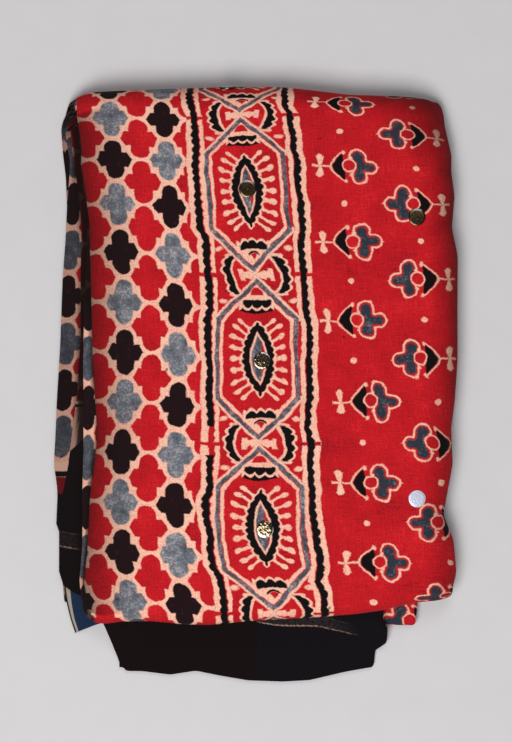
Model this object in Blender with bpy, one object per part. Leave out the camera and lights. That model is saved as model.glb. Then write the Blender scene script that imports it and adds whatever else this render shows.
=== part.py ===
"""Folded ajrakh cloth with small round mirrors sewn on, lying flat.

Metres, +Z up, +Y towards the back fold, +X towards the folded right side. The origin is on the
floor under the middle of the bundle.

The cloth is one sheet. It is first folded in four lengthwise, which gives a strip with two wraps
on the right and both selvages on the left. The strip is then folded crosswise into eight levels,
each four layers high, whose turns lie inside one another at the back. The upper four levels are a
tidy pad with a round front fold. The lower four are pushed to the left, and the plain end of the
cloth slides out of them at the front and droops to the floor.
"""

from typing import NamedTuple

import bpy
import numpy as np
from mathutils import Matrix, Vector
from mathutils.bvhtree import BVHTree

# The sheet and its layers
SHEET = 0.00105  # thickness of one layer
PITCH = 0.00135  # from one layer to the next, so layers lie 0.3 mm apart
LAYERS = 4  # lengthwise layers in one level
STRIP = LAYERS * PITCH  # height of one level
REST = (PITCH - SHEET) / 2  # the lowest layer's underside before it is set on the floor
FLAT_TURN = 0.75  # a crosswise turn reaches this share of its height

# Outline of the whole bundle
HALF_WIDTH = 0.151  # from the middle to the widest side
BACK_EDGE = 0.2192  # the back fold
FRONT_EDGE = -0.1775  # the upper half's front fold
SELVAGE_STEP = 0.0095  # the second selvage lies this far outside the first
TUCK = 0.004  # the lengthwise turn on the left lies this far outside the first selvage

COLUMNS = (-0.105, -0.030, 0.045, 0.112)  # x of the stations across the strip, between its sides
WRAP_STEPS = 4  # segments round the outer lengthwise wrap
TURN_STEPS = 3  # segments round the two tight lengthwise turns


class Station(NamedTuple):
    """One place along the bundle, with where the strip's sides lie there."""

    y: float
    upper_left: float  # first selvage in the upper half
    upper_right: float
    lower_left: float  # first selvage in the lower half
    lower_right: float


STATIONS = (
    Station(0.205, -0.134, 0.137, -0.132, 0.132),
    Station(0.143, -0.127, 0.148, -0.131, 0.139),
    Station(0.076, -0.124, 0.1501, -0.134, 0.142),
    Station(0.010, -0.121, 0.149, -0.137, 0.140),
    Station(-0.057, -0.119, 0.143, -0.1405, 0.136),
    Station(-0.124, -0.125, 0.147, -0.137, 0.131),
    Station(-0.164, -0.124, 0.144, -0.134, 0.119),
)


class Level(NamedTuple):
    """One level of the bundle, level 1 being the lowest."""

    lean: float  # 1 where its sides follow the upper half, 0 the lower half
    left: float  # its own shift of the left side
    right: float  # its own shift of the right side


LEVELS = {
    8: Level(1.00, 0.0000, 0.0000),
    7: Level(0.95, -0.0010, -0.0015),
    6: Level(0.85, 0.0015, 0.0000),
    5: Level(0.80, -0.0005, -0.0020),
    4: Level(0.00, 0.0000, 0.0010),
    3: Level(0.00, 0.0030, -0.0010),
    2: Level(0.05, 0.0010, 0.0010),
    1: Level(0.00, 0.0035, -0.0010),
}


class Turn(NamedTuple):
    """One crosswise fold, between two levels that follow each other along the cloth."""

    first: int
    second: int
    edge: float  # how far along Y the outside of this fold reaches
    skew: float  # how much further the fold lies to the front at the right than at the left
    steps: int  # segments round the fold


# The folds in their order along the cloth, from its plain end
TURNS = (
    Turn(4, 5, BACK_EDGE - 0.0170, 0.0, 3),
    Turn(5, 8, FRONT_EDGE, 0.0, 5),
    Turn(8, 1, BACK_EDGE, 0.0, 8),
    Turn(1, 2, -0.1700, 0.012, 4),
    Turn(2, 7, BACK_EDGE - 0.0052, 0.0, 6),
    Turn(7, 6, FRONT_EDGE + 0.0060, 0.0, 3),
    Turn(6, 3, BACK_EDGE - 0.0105, 0.0, 5),
)


class EndStation(NamedTuple):
    """One place along an end of the cloth that slides out of the bundle."""

    y: float
    left: float
    right: float
    lift: float  # height over the floor, as a share of the level's own
    spread: float  # how far the lowest layer lies back from the top one
    bow: float  # how far the middle runs ahead of the sides
    corner: float  # how far the selvage corners run ahead
    corner_drop: float  # how far they hang down


PLAIN_END = (
    EndStation(-0.2138, -0.101, 0.088, 0.00, 0.018, 0.008, 0.0, 0.0),
    EndStation(-0.2030, -0.104, 0.091, 0.05, 0.013, 0.005, 0.0, 0.0),
    EndStation(-0.1920, -0.109, 0.095, 0.50, 0.006, 0.002, 0.0, 0.0),
    EndStation(-0.1760, -0.117, 0.103, 1.00, 0.000, 0.000, 0.0, 0.0),
    EndStation(-0.1580, -0.131, 0.118, 1.00, 0.000, 0.000, 0.0, 0.0),
)
STRIPED_END = (
    EndStation(-0.1600, -0.134, 0.118, 1.00, 0.000, 0.000, 0.000, 0.0000),
    EndStation(-0.1630, -0.134, 0.117, 1.00, 0.000, 0.000, 0.007, 0.0020),
    EndStation(-0.1660, -0.134, 0.116, 1.00, 0.000, 0.000, 0.014, 0.0040),
    EndStation(-0.1690, -0.134, 0.115, 1.00, 0.000, 0.000, 0.021, 0.0060),
)


# Between the lines of these two tables everything runs straight, so that no layer meets the next.


class AcrossLine(NamedTuple):
    """What the pile does at one x."""

    x: float
    slump: float  # share of its height that it loses
    back: float  # how far the back folds draw in
    front: float  # how far the front folds draw back


class AlongLine(NamedTuple):
    """What the pile does at one y."""

    y: float
    slump: float


ACROSS_LINES = (
    AcrossLine(-0.155, 0.18, 0.0095, -0.0010),
    AcrossLine(-0.105, 0.04, 0.0025, 0.0010),
    AcrossLine(-0.030, 0.00, 0.0000, 0.0000),
    AcrossLine(0.045, 0.00, 0.0000, 0.0015),
    AcrossLine(0.112, 0.02, 0.0035, 0.0105),
    AcrossLine(0.155, 0.10, 0.0100, 0.0195),
)
ALONG_LINES = (
    AlongLine(-0.190, 0.12),
    AlongLine(-0.124, 0.01),
    AlongLine(-0.057, 0.00),
    AlongLine(0.143, 0.00),
    AlongLine(0.222, 0.05),
)

# The mirrors
MIRROR_RADIUS = 0.0063
MIRROR_THICK = 0.0010
MIRROR_SIDES = 16
SEAT_GAP = 0.0003  # clear of the cloth
MIRRORS = {
    "mirror_border_back": (-0.0067, 0.1436),
    "mirror_border_middle": (0.0037, 0.0178),
    "mirror_border_front": (0.0059, -0.1066),
    "mirror_field_back": (0.1184, 0.1228),
    "mirror_field_front": (0.1191, -0.0844),
}
FOLD_MIRROR = ("mirror_back_fold", -0.0210, 0.0250)  # name, x and height on the back fold

SHARP_EDGE = np.radians(40)  # edges sharper than this are shaded sharp


class Section(NamedTuple):
    """The strip's section: one entry a column, from the first selvage to the second."""

    share: np.ndarray  # place across the strip, from 0 on the left to 1 on the right
    column: np.ndarray  # the station's own x, or 0 at the strip's sides
    shift: np.ndarray  # how far it lies from its side, in metres
    height: np.ndarray  # height in the level


class Row(NamedTuple):
    """One row of the sheet: a line across the strip, with the direction that its layers pile up in."""

    y: float
    z: float
    y_per_height: float
    z_per_height: float
    left: float
    right: float
    back: float = 0.0  # share of the back folds' curve that it follows
    front: float = 0.0  # share of the front folds' curve that it follows
    skew: float = 0.0
    bow: float = 0.0
    corner: float = 0.0
    corner_drop: float = 0.0


def strip_section(offset):
    """The section folded in four, with the sheet's surface moved off its middle by this much.

    Layers from the top are A, B, C and D. The cloth runs A, round to D, back under to C and up to B.
    """
    middle = STRIP / 2
    outer = 1.5 * PITCH
    tight = 0.5 * PITCH
    inner = np.array(COLUMNS)
    no_station = [0.0]
    shares = np.array([0.0, *(inner + HALF_WIDTH) / (2 * HALF_WIDTH), 1.0])
    parts = []

    def run(left_shift, height, rightward):
        level = np.full(len(shares), height)
        shift = np.array([-left_shift, *np.zeros(len(inner)), -STRIP / 2])
        part = np.stack([shares, [*no_station, *inner, *no_station], shift, level])
        parts.append(part if rightward else part[:, ::-1])

    def bend(radius, centre, side, rising, steps, at):
        angle = np.linspace(0, np.pi, steps + 1)[1:-1]
        share = np.full(len(angle), 1.0 if side > 0 else 0.0)
        shift = side * radius * np.sin(angle) - at
        parts.append(np.stack([share, 0 * angle, shift, centre - rising * radius * np.cos(angle)]))

    run(0.0, middle + outer + offset, True)
    bend(outer + offset, middle, 1, -1, WRAP_STEPS, STRIP / 2)
    run(TUCK, middle - outer - offset, False)
    bend(tight + offset, middle - PITCH, -1, 1, TURN_STEPS, TUCK)
    run(TUCK, middle - tight + offset, True)
    bend(tight - offset, middle, 1, 1, TURN_STEPS, STRIP / 2)
    run(SELVAGE_STEP, middle + tight - offset, False)
    return Section(*np.concatenate(parts, axis=1))


def sides(level, y):
    """Where a level's first selvage and its wraps lie at this place along the bundle."""
    table = np.array(sorted(STATIONS))
    upper_left, upper_right, lower_left, lower_right = (
        np.interp(y, table[:, 0], table[:, column]) for column in range(1, 5)
    )
    lean, left, right = LEVELS[level]
    return (
        lean * upper_left + (1 - lean) * lower_left + left,
        lean * upper_right + (1 - lean) * lower_right + right,
    )


def standing(level, upright):
    """The height that a level's section starts from, and whether it goes up or down from there."""
    return ((level - 1) * STRIP, 1.0) if upright else (level * STRIP, -1.0)


def run_rows(level, upright, stations):
    """Rows of one level at these stations."""
    start, up = standing(level, upright)
    return [Row(y, start, 0.0, up, *sides(level, y)) for y in stations]


def end_rows(level, upright, table):
    """Rows of an end that slides out of its level and droops."""
    up = standing(level, upright)[1]
    rows = []
    for at in table:
        low = at.lift * (level - 1) * STRIP
        z = low if upright else low + STRIP
        y = at.y + (at.spread if upright else 0.0)
        spread = -up * at.spread / STRIP
        ends = {"bow": at.bow, "corner": at.corner, "corner_drop": at.corner_drop}
        rows.append(Row(y, z, spread, up, at.left, at.right, **ends))
    return rows


def turn_rows(turn, upright):
    """Rows round one crosswise fold: half an ellipse about a line between its two levels."""
    centre = (turn.first + turn.second - 1) * STRIP / 2
    start, up = standing(turn.first, upright)
    above = np.sign(start + up * STRIP / 2 - centre)
    side = 1.0 if turn.edge > 0 else -1.0
    reach = FLAT_TURN * (abs(turn.first - turn.second) + 1) * STRIP / 2
    y_centre = turn.edge - side * reach
    rows = []
    for angle in np.linspace(0, np.pi, turn.steps + 1):
        share = angle / np.pi
        first = np.array(sides(turn.first, y_centre))
        left, right = first + share * (np.array(sides(turn.second, y_centre)) - first)
        # A layer's distance from the centre line is above * (start - centre + up * height).
        along, rise = side * FLAT_TURN * np.sin(angle) * above, np.cos(angle)
        rows.append(
            Row(
                y=y_centre + along * (start - centre),
                z=centre + rise * (start - centre),
                y_per_height=along * up,
                z_per_height=rise * up,
                left=left,
                right=right,
                back=float(side > 0),
                front=float(side < 0),
                skew=-turn.skew,
            )
        )
    return rows


def cloth_rows():
    """All rows, from the plain end to the striped end."""
    inner = [station.y for station in STATIONS[1:-1]]
    rows = end_rows(TURNS[0].first, True, PLAIN_END)
    for number, turn in enumerate(TURNS):
        upright = number % 2 == 0
        rows += run_rows(turn.first, upright, inner[::-1] if upright else inner)
        rows += turn_rows(turn, upright)
    rows += run_rows(TURNS[-1].second, False, inner)
    return rows + end_rows(TURNS[-1].second, False, STRIPED_END)


def surface(rows, section):
    """The points of one face of the sheet, one line for each row."""
    row = Row(*np.array(rows, float).T[:, :, None])
    shared = row.left + section.share * (row.right - row.left)
    wide = (row.left < COLUMNS[0]) & (row.right - STRIP / 2 > COLUMNS[-1])
    inner = (section.share > 0) & (section.share < 1)
    x = np.where(inner & wide, section.column, shared) + section.shift
    line = AcrossLine(*np.array(ACROSS_LINES).T)
    along = AlongLine(*np.array(ALONG_LINES).T)
    corner = np.clip((COLUMNS[0] - x) / (COLUMNS[0] + HALF_WIDTH), 0, 1)
    y = row.y + row.y_per_height * section.height - row.corner * corner
    y = y - row.back * np.interp(x, line.x, line.back) + row.front * np.interp(x, line.x, line.front)
    y = y + row.skew * x / (2 * HALF_WIDTH) - row.bow * np.sin(np.pi * section.share) ** 2
    z = row.z + row.z_per_height * section.height - REST - row.corner_drop * corner
    z = z * (1 - np.interp(x, line.x, line.slump) - np.interp(y, along.y, along.slump))
    return np.stack([x, y, z], axis=-1)


def sheet_faces(points):
    """Triangles of the sheet's face, of its back and of its four edges.

    Every layer is cut along the same diagonal as the layers above and below it, whichever way it runs.
    """
    rows, columns = points.shape[:2]
    index = np.arange(rows * columns).reshape(rows, columns)
    under = index + rows * columns
    forward = points[1:, :-1, 1] > points[:-1, :-1, 1]
    rightward = points[:-1, 1:, 0] > points[:-1, :-1, 0]
    same = (forward == rightward).ravel()

    def split(a, b, c, d, along):
        a, b, c, d = (corner.ravel() for corner in (a, b, c, d))
        first = np.where(along, [a, b, c], [a, b, d])
        second = np.where(along, [a, c, d], [b, c, d])
        return np.concatenate([first.T, second.T])

    def rim(line, other):
        return split(line[:-1], other[:-1], other[1:], line[1:], True)

    return np.concatenate(
        [
            split(index[:-1, :-1], index[:-1, 1:], index[1:, 1:], index[1:, :-1], same),
            split(under[:-1, :-1], under[1:, :-1], under[1:, 1:], under[:-1, 1:], same),
            rim(index[0], under[0]),
            rim(index[-1, ::-1], under[-1, ::-1]),
            rim(index[::-1, 0], under[::-1, 0]),
            rim(index[:, -1], under[:, -1]),
        ]
    )


def finish(name, colour, roughness, metallic):
    """A Principled material."""
    material = bpy.data.materials.new(name)
    material.use_nodes = True
    shader = material.node_tree.nodes["Principled BSDF"]
    shader.inputs["Base Color"].default_value = (*colour, 1.0)
    shader.inputs["Roughness"].default_value = roughness
    shader.inputs["Metallic"].default_value = metallic
    return material


def add_object(name, points, faces, material):
    """One object from points and faces, with its own material."""
    mesh = bpy.data.meshes.new(name)
    mesh.from_pydata([tuple(point) for point in points], [], [tuple(face) for face in faces])
    mesh.materials.append(material)
    mesh.shade_smooth()
    mesh.set_sharp_from_angle(angle=SHARP_EDGE)
    made = bpy.data.objects.new(name, mesh)
    bpy.context.collection.objects.link(made)
    return made


def make_cloth():
    """The whole cloth, one closed sheet."""
    rows = cloth_rows()
    face = surface(rows, strip_section(SHEET / 2))
    back = surface(rows, strip_section(-SHEET / 2))
    points = np.concatenate([face.reshape(-1, 3), back.reshape(-1, 3)])
    faces = sheet_faces(face)
    material = finish("printed_cotton", (0.55, 0.02, 0.03), 0.85, 0.0)
    add_object("cloth", points, faces, material)
    return BVHTree.FromPolygons([Vector(point) for point in points], faces.tolist())


def seat(tree, middle, towards):
    """Where a disc lies on the cloth: its centre, raised clear of every facet under it, and its normal."""
    far = 0.1
    side = towards.orthogonal().normalized()
    other = towards.cross(side)
    hits = []
    for turn in np.linspace(0, 2 * np.pi, MIRROR_SIDES, endpoint=False):
        reach = side * float(np.cos(turn)) + other * float(np.sin(turn))
        start = middle + reach * MIRROR_RADIUS + towards * far
        hits.append(tree.ray_cast(start, -towards)[0])
    centre = sum(hits, Vector()) / len(hits)
    half = MIRROR_SIDES // 2
    normal = (hits[half // 2] - hits[half // 2 + half]).cross(hits[half] - hits[0]).normalized()
    if normal.dot(towards) < 0:
        normal.negate()
    hits.append(tree.ray_cast(middle + towards * far, -towards)[0])
    proud = max((hit - centre).dot(normal) for hit in hits)
    return centre + normal * (proud + SEAT_GAP), normal


def make_mirror(name, tree, middle, towards, material):
    """One round mirror, a flat disc lying on the cloth."""
    centre, normal = seat(tree, middle, towards)
    turn = np.linspace(0, 2 * np.pi, MIRROR_SIDES, endpoint=False)
    ring = np.stack([np.cos(turn), np.sin(turn)], axis=-1) * MIRROR_RADIUS
    low = np.column_stack([ring, np.zeros(MIRROR_SIDES)])
    high = np.column_stack([ring, np.full(MIRROR_SIDES, MIRROR_THICK)])
    under = list(range(MIRROR_SIDES))
    over = [number + MIRROR_SIDES for number in under]
    after = under[1:] + under[:1]
    wall = [(a, b, b + MIRROR_SIDES, a + MIRROR_SIDES) for a, b in zip(under, after)]
    disc = add_object(name, np.concatenate([low, high]), [under[::-1], over, *wall], material)
    turned = Vector((0, 0, 1)).rotation_difference(normal)
    disc.matrix_world = Matrix.Translation(centre) @ turned.to_matrix().to_4x4()


def main():
    """Clears the scene and makes the cloth and its mirrors."""
    for old in list(bpy.data.objects):
        bpy.data.objects.remove(old, do_unlink=True)
    tree = make_cloth()
    glass = finish("mirror_glass", (0.80, 0.82, 0.84), 0.08, 1.0)
    top = LAYERS * 2 * STRIP
    for name, (x, y) in MIRRORS.items():
        make_mirror(name, tree, Vector((x, y, top)), Vector((0, 0, 1)), glass)
    name, x, z = FOLD_MIRROR
    make_mirror(name, tree, Vector((x, BACK_EDGE, z)), Vector((0, 1, 0)), glass)


main()
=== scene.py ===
"""Folded ajrakh cloth with small round mirrors sewn on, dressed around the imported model.

Metres in the finished meshes, millimetres in the tables and in the print. +Z is up, +Y is towards
the back fold and +X towards the folded right side.

One long printed cotton sheet is folded in four lengthwise and then crosswise into eight levels.
The sheet is one grid: its rows run along the whole cloth, through every level and every turn, and
its columns run round the lengthwise folds. The print is worked out in the cloth's own flat
coordinates.
"""

import logging
from dataclasses import dataclass, field, fields
from enum import Enum
from typing import NamedTuple, Optional, Union

import bmesh
import bpy
import numpy as np
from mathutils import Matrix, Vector
from mathutils.bvhtree import BVHTree


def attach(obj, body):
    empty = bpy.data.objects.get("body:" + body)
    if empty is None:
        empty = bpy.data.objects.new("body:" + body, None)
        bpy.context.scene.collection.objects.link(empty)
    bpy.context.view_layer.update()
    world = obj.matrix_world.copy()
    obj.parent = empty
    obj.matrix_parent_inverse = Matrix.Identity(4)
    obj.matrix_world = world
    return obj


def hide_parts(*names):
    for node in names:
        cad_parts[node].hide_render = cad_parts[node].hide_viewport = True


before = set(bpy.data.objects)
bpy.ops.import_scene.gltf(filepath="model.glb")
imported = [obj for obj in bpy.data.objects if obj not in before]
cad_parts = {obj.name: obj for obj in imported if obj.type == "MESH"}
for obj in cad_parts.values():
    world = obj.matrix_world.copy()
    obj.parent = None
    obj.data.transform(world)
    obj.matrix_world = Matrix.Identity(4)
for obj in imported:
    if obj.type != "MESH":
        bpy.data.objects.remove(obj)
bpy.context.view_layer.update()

LOG = logging.getLogger("ajrakh")
MM = 0.001


# ---- Sizes of the pile ----


class Point(NamedTuple):
    """One point of an outline, in millimetres."""

    x: float
    y: float


def rows_of(kind: type, *rows: tuple) -> tuple:
    """Makes a table of one kind of entry from plain rows of numbers."""
    return tuple(kind(*row) for row in rows)


class Edge(Enum):
    """The lines across the pile at which the cloth turns or ends."""

    BACK = 0
    FRONT = 1
    LOW_FRONT = 2
    PLAIN_CUT = 3
    STRIPED_CUT = 4


# Where each line lies, as y for each x
EDGE_LINES: dict[Edge, tuple[Point, ...]] = {
    Edge.BACK: rows_of(
        Point,
        (-150, 203), (-141, 208.5), (-133, 213.2), (-123, 216), (-90, 217.4), (-60, 218.6),
        (-19, 219.8), (18, 219.8), (33, 218.3), (70, 213.9), (107, 213.1), (125, 211.5),
        (137, 208.7), (150, 203),
    ),
    Edge.FRONT: rows_of(
        Point,
        (-150, -160), (-130, -170), (-120, -178), (-112, -178.5), (-88, -174.6), (-78, -176),
        (-55, -178.3), (-35, -179), (2, -175.4), (45, -173.2), (73, -170.9), (94, -168),
        (118, -162), (136, -161), (150, -157),
    ),
    Edge.LOW_FRONT: rows_of(
        Point,
        (-150, -165), (0, -168), (70, -172), (92, -180.8), (118, -181.3), (150, -180),
    ),
    Edge.PLAIN_CUT: rows_of(
        Point,
        (-150, -212.4), (-99, -213.4), (-97, -216.2), (-85, -216.3), (-64, -218.9), (-45, -216),
        (-27, -219.6), (-6, -223.2), (20, -224.1), (40, -223), (67, -216.7), (88, -213),
        (150, -209.6),
    ),
    Edge.STRIPED_CUT: rows_of(
        Point,
        (-150, -184), (-141, -186), (-136, -187.2), (-118, -179.8), (-110, -177), (-95, -170),
        (0, -165), (150, -163),
    ),
}


class Sides(NamedTuple):
    """How wide part of the pile is at one place along it, in millimetres."""

    y: float
    left: float  # the first selvage
    step: float  # how far the second selvage lies outside it
    right: float  # the lengthwise folds


UPPER_SIDES = rows_of(
    Sides,
    (207, -134.4, 1, 137.2), (190, -131.5, 1.2, 141.2), (172, -128.8, 1.2, 145.6),
    (160, -129.4, 1.2, 145), (142, -126.3, 1.3, 147.6), (117, -122.9, 1.5, 145.2),
    (98, -122.6, 2.4, 149.8), (60, -121.5, 5.6, 149.5), (17, -120.6, 7.5, 149.6),
    (-13, -118.4, 9.5, 147.6), (-35, -116.9, 11, 144.7), (-61, -120.2, 8, 146.1),
    (-78, -122.6, 6, 142.8), (-98, -123.4, 5, 138.9), (-118, -124.6, 4, 146.7),
    (-144, -127.2, 3.5, 148.9), (-157, -126.5, 3, 145.3), (-175, -119.5, 2, 143),
)
MIDDLE_SIDES = rows_of(
    Sides,
    (206, -138.5, 4.3, 132), (188, -138.5, 3.5, 136), (165, -135.8, 2.5, 138),
    (138, -131.7, 9, 139), (109, -129.7, 12.3, 141), (84, -130.6, 13.5, 142),
    (32, -130.6, 15.4, 141), (-9, -133.2, 15.3, 140), (-35, -136.9, 12.6, 138),
    (-58, -139.5, 11.3, 136), (-73, -142.5, 6, 135), (-81, -144.3, 3.7, 134),
    (-104, -148.6, 0.4, 133), (-109, -146.4, 0, 132), (-142, -146.5, 0, 126),
    (-146, -144.3, 0, 124), (-152.5, -142.8, 0, 120), (-155.5, -137, 0, 112),
    (-158.5, -128.5, 0, 104), (-163, -124, 0, 96), (-169, -119.9, 0, 94), (-178, -114, 0, 94.3),
    (-181, -112.6, 0, 97.7), (-195, -107.3, 0, 97.7), (-198, -106.3, 0, 89.6),
    (-209, -102.1, 0, 88.4),
)
LOWER_SIDES = rows_of(
    Sides,
    (206, -137.5, 8, 132), (188, -137.5, 8.5, 136), (160, -134, 8.5, 139), (109, -131, 9.5, 142),
    (32, -134.5, 9.5, 140), (-35, -138.5, 9.5, 136), (-78, -138, 9.5, 133),
    (-109, -136, 9.5, 131), (-142, -136, 9.5, 126), (-160, -135.5, 8.5, 119.6),
    (-175, -134, 6.5, 119), (-187, -131, 5.5, 119),
)


class Level(NamedTuple):
    """One level of the pile, level 1 being the lowest."""

    sides: tuple[Sides, ...]
    left: float  # its own shift of the first selvage
    step: float  # its own change of the second selvage's step
    right: float  # its own shift of the right side
    rows: int  # rows of the grid along it


LEVELS: dict[int, Level] = {
    8: Level(UPPER_SIDES, 0.0, 0.0, 0.0, 100),
    7: Level(UPPER_SIDES, -0.5, -1.5, -1.8, 20),
    6: Level(UPPER_SIDES, 1.5, -1.5, -0.4, 20),
    5: Level(UPPER_SIDES, -0.3, -1.5, -2.4, 20),
    4: Level(MIDDLE_SIDES, 0.0, 0.0, 0.6, 62),
    3: Level(LOWER_SIDES, 1.5, 0.0, -1.2, 30),
    2: Level(LOWER_SIDES, -0.2, -0.5, 0.6, 20),
    1: Level(LOWER_SIDES, 2.2, -0.5, -1.4, 20),
}


class Turn(NamedTuple):
    """One crosswise fold, between two levels that follow each other along the cloth."""

    first: int
    second: int
    edge: Edge
    inset: float  # how far inside its line the fold's outside lies
    rows: int


# The folds in their order along the cloth, from its plain end
TURNS = (
    Turn(4, 5, Edge.BACK, 17.0, 6),
    Turn(5, 8, Edge.FRONT, 0.0, 13),
    Turn(8, 1, Edge.BACK, 0.0, 20),
    Turn(1, 2, Edge.LOW_FRONT, 0.0, 8),
    Turn(2, 7, Edge.BACK, 5.2, 9),
    Turn(7, 6, Edge.FRONT, 6.0, 6),
    Turn(6, 3, Edge.BACK, 10.5, 8),
)


class Slump(NamedTuple):
    """What share of its height the whole pile loses at one x or one y."""

    place: float
    share: float


ACROSS_LINES = rows_of(
    Slump,
    (-152, 0.16), (-142, 0.12), (-134, 0.08), (-127, 0.04), (-120, 0.01), (-112, 0), (125, 0),
    (152, 0.02),
)
ALONG_LINES = rows_of(
    Slump,
    (-190, 0.12), (-165, 0.05), (-140, 0.01), (-110, 0), (150, 0), (180, 0.03), (205, 0.06),
    (222, 0.11),
)


class Crease(NamedTuple):
    """A soft trough, or a ridge where its depth is negative, between two points on the pile."""

    x_from: float
    y_from: float
    x_to: float
    y_to: float
    depth: float
    width: float


CREASES = rows_of(
    Crease,
    (68, 230, 71, 64, 0.7, 3.8), (71, 56, 76, -120, 0.6, 3.6), (84, 190, 88, -60, -0.7, 6.5),
    (61, 60, 63, -60, -0.5, 5), (120, 215, 128, 130, 1.1, 5), (108, 215, 113, 170, -0.8, 5),
    (136, 190, 150, 150, 1.1, 4), (137, 90, 132, -60, 0.9, 5), (118, 40, 116, -60, -0.8, 8),
    (130, -93, 150, -106, 1.1, 5), (134, 101, 152, 112, 1, 5), (132, 160, 150, 163, 1.1, 4.5),
    (120, -150, 150, -128, 1, 5), (93, -176, 101, -120, 1.1, 4.5), (60, -178, 63, -145, 0.8, 4),
    (-88, -178, -86, -150, 0.9, 5), (-106, 160, -100, 40, -0.6, 7), (-102, 40, -98, -70, 0.6, 6),
    (-70, 215, -60, 120, 0.5, 6), (-30, 215, -20, 150, 0.6, 6), (20, -20, 40, -70, 0.45, 7),
    (-60, -30, -52, -120, 0.45, 6), (-30, -196, 30, -204, -1.2, 5), (30, -190, 84, -196, 1.4, 4),
    (-92, -186, -70, -208, 1.1, 4.5), (-20, -186, -10, -216, 0.9, 5),
)


class Swell(NamedTuple):
    """A long gentle wave over the pile: its height and how it runs."""

    height: float
    x_length: float
    y_length: float
    start: float


SWELLS = (
    Swell(0.30, 260.0, 140.0, 0.4),
    Swell(0.22, 95.0, -210.0, 1.9),
    Swell(0.14, 54.0, 88.0, 0.7),
    Swell(0.08, -31.0, 47.0, 2.6),
)


class Layer(Enum):
    """The four layers of a level, from its top when it lies the right way up."""

    A = 0
    B = 1
    C = 2
    D = 3


class PrintLine(NamedTuple):
    """How far the print is off at one y, in millimetres, at three places across."""

    y: float
    left: float
    middle: float
    right: float


# The x of those three places
LEAN_PLACES = (-78.0, 4.0, 107.0)
LEAN_BLEND = 30.0  # half the width over which one run between them turns into the next
# How far it has shifted to the right
LEAN_LINES = rows_of(
    PrintLine,
    (209, -13.2, -14.8, -14.8), (195, -11.8, -13.6, -13.8), (168, -8.8, -11.8, -12.2),
    (143, -7.1, -10.5, -10.4), (76, -2.2, -5.4, -5.2), (10, -0.4, 0, -1.5), (-25, -1.8, 0.4, 2),
    (-57, -3.5, 0.2, 5.2), (-90, -4.6, 1.3, 7), (-124, -2.9, 2.2, 8.9), (-150, 1.3, 2.6, 10.8),
    (-175, 4.5, 3.4, 12.6),
)
# How far it runs ahead of y
DRIFT_LINES = rows_of(
    PrintLine,
    (-180, 0, 0, 0.8), (-30, 0, 0, 0.8), (10, 0, -0.4, -2.1), (96, 0.3, 0.2, -1.9),
    (122, 0.6, 0.5, 0.5), (150, 3.2, 0.5, 2.5), (168, 6.1, 0.6, 5.3), (181, 8.5, 3, 7.6),
    (195, 12.1, 6, 10), (204, 14.5, 9.2, 11.9), (211, 17.5, 14.5, 14.8), (220, 20, 19, 18.5),
)
CORNER_RUN = 0.06  # how much more it runs ahead for each millimetre past the corner's line
CORNER_LINE = (2.43, 543.0)  # on that line, x plus the first times y is the second

FLAP_SHIFT = Point(7.0, -24.9)  # how the print lies shifted on the two lowest levels

SELVAGE_U = -121.0  # the first selvage in the print's own measure
SECOND_SELVAGE_U = 1010.0  # the second selvage in the same measure
END_V = -751.8  # what the print's length measure says on level 4 where y is 0


def eased(table: tuple, place: np.ndarray, column: int, ease: float) -> np.ndarray:
    """Reads a curve from a table whose first column is the place along it.

    Straight lines between the table's rows, averaged over a window with a raised-cosine weight, so
    that the corners are rounded.

    Args:
        table: Rows of numbers.
        place: Where to read the curve.
        column: Which column holds the curve's value.
        ease: Half the width of the window, in millimetres.

    Returns:
        The curve's value at each place.
    """
    lines = np.array(sorted(table), float)
    offsets = np.linspace(-1, 1, 11)
    weights = 1 + np.cos(np.pi * offsets)
    read = [np.interp(place + offset * ease, lines[:, 0], lines[:, column]) for offset in offsets]
    return np.tensordot(weights, np.array(read), axes=1) / weights.sum()


def eased_step(value: np.ndarray) -> np.ndarray:
    """Goes smoothly from 0 to 1 as the value does: three squares less two cubes.

    Args:
        value: Any number; it is held between 0 and 1 first.

    Returns:
        The eased number.
    """
    held = np.clip(value, 0, 1)
    return held * held * (3 - 2 * held)


# ---- The sheet ----


@dataclass
class Section:
    """The strip's section: one entry a column, from the first selvage to the second."""

    share: np.ndarray  # place across the strip, from 0 on the left to 1 on the right
    tuck: np.ndarray  # 1 where it hangs from the tucked fold on the left
    step: np.ndarray  # 1 where it hangs from the second selvage
    shift: np.ndarray  # how far it lies from there
    height: np.ndarray  # height in the level
    layer: np.ndarray  # which layer it belongs to; a bend belongs to the one before it


@dataclass
class Rows:
    """Rows of the sheet in their order along the cloth: every array has one entry a row."""

    weight: np.ndarray  # share of each edge line in the row's place
    place: np.ndarray  # added to that
    y_up: np.ndarray  # y for each millimetre of height in the level
    z: np.ndarray
    z_up: np.ndarray
    left: np.ndarray
    step: np.ndarray
    right: np.ndarray
    level: np.ndarray  # the level, or 0 in a turn
    plain: np.ndarray  # 1 on the level that ends in the plain end
    striped: np.ndarray  # 1 on the level that ends in the striped end


class Rise(NamedTuple):
    """A smooth rise from 0 to 1: where it starts and how long it is, in millimetres."""

    start: float
    reach: float

    def rise(self, place: np.ndarray) -> np.ndarray:
        """How far it has risen at each place."""
        return eased_step((place - self.start) / self.reach)


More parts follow.
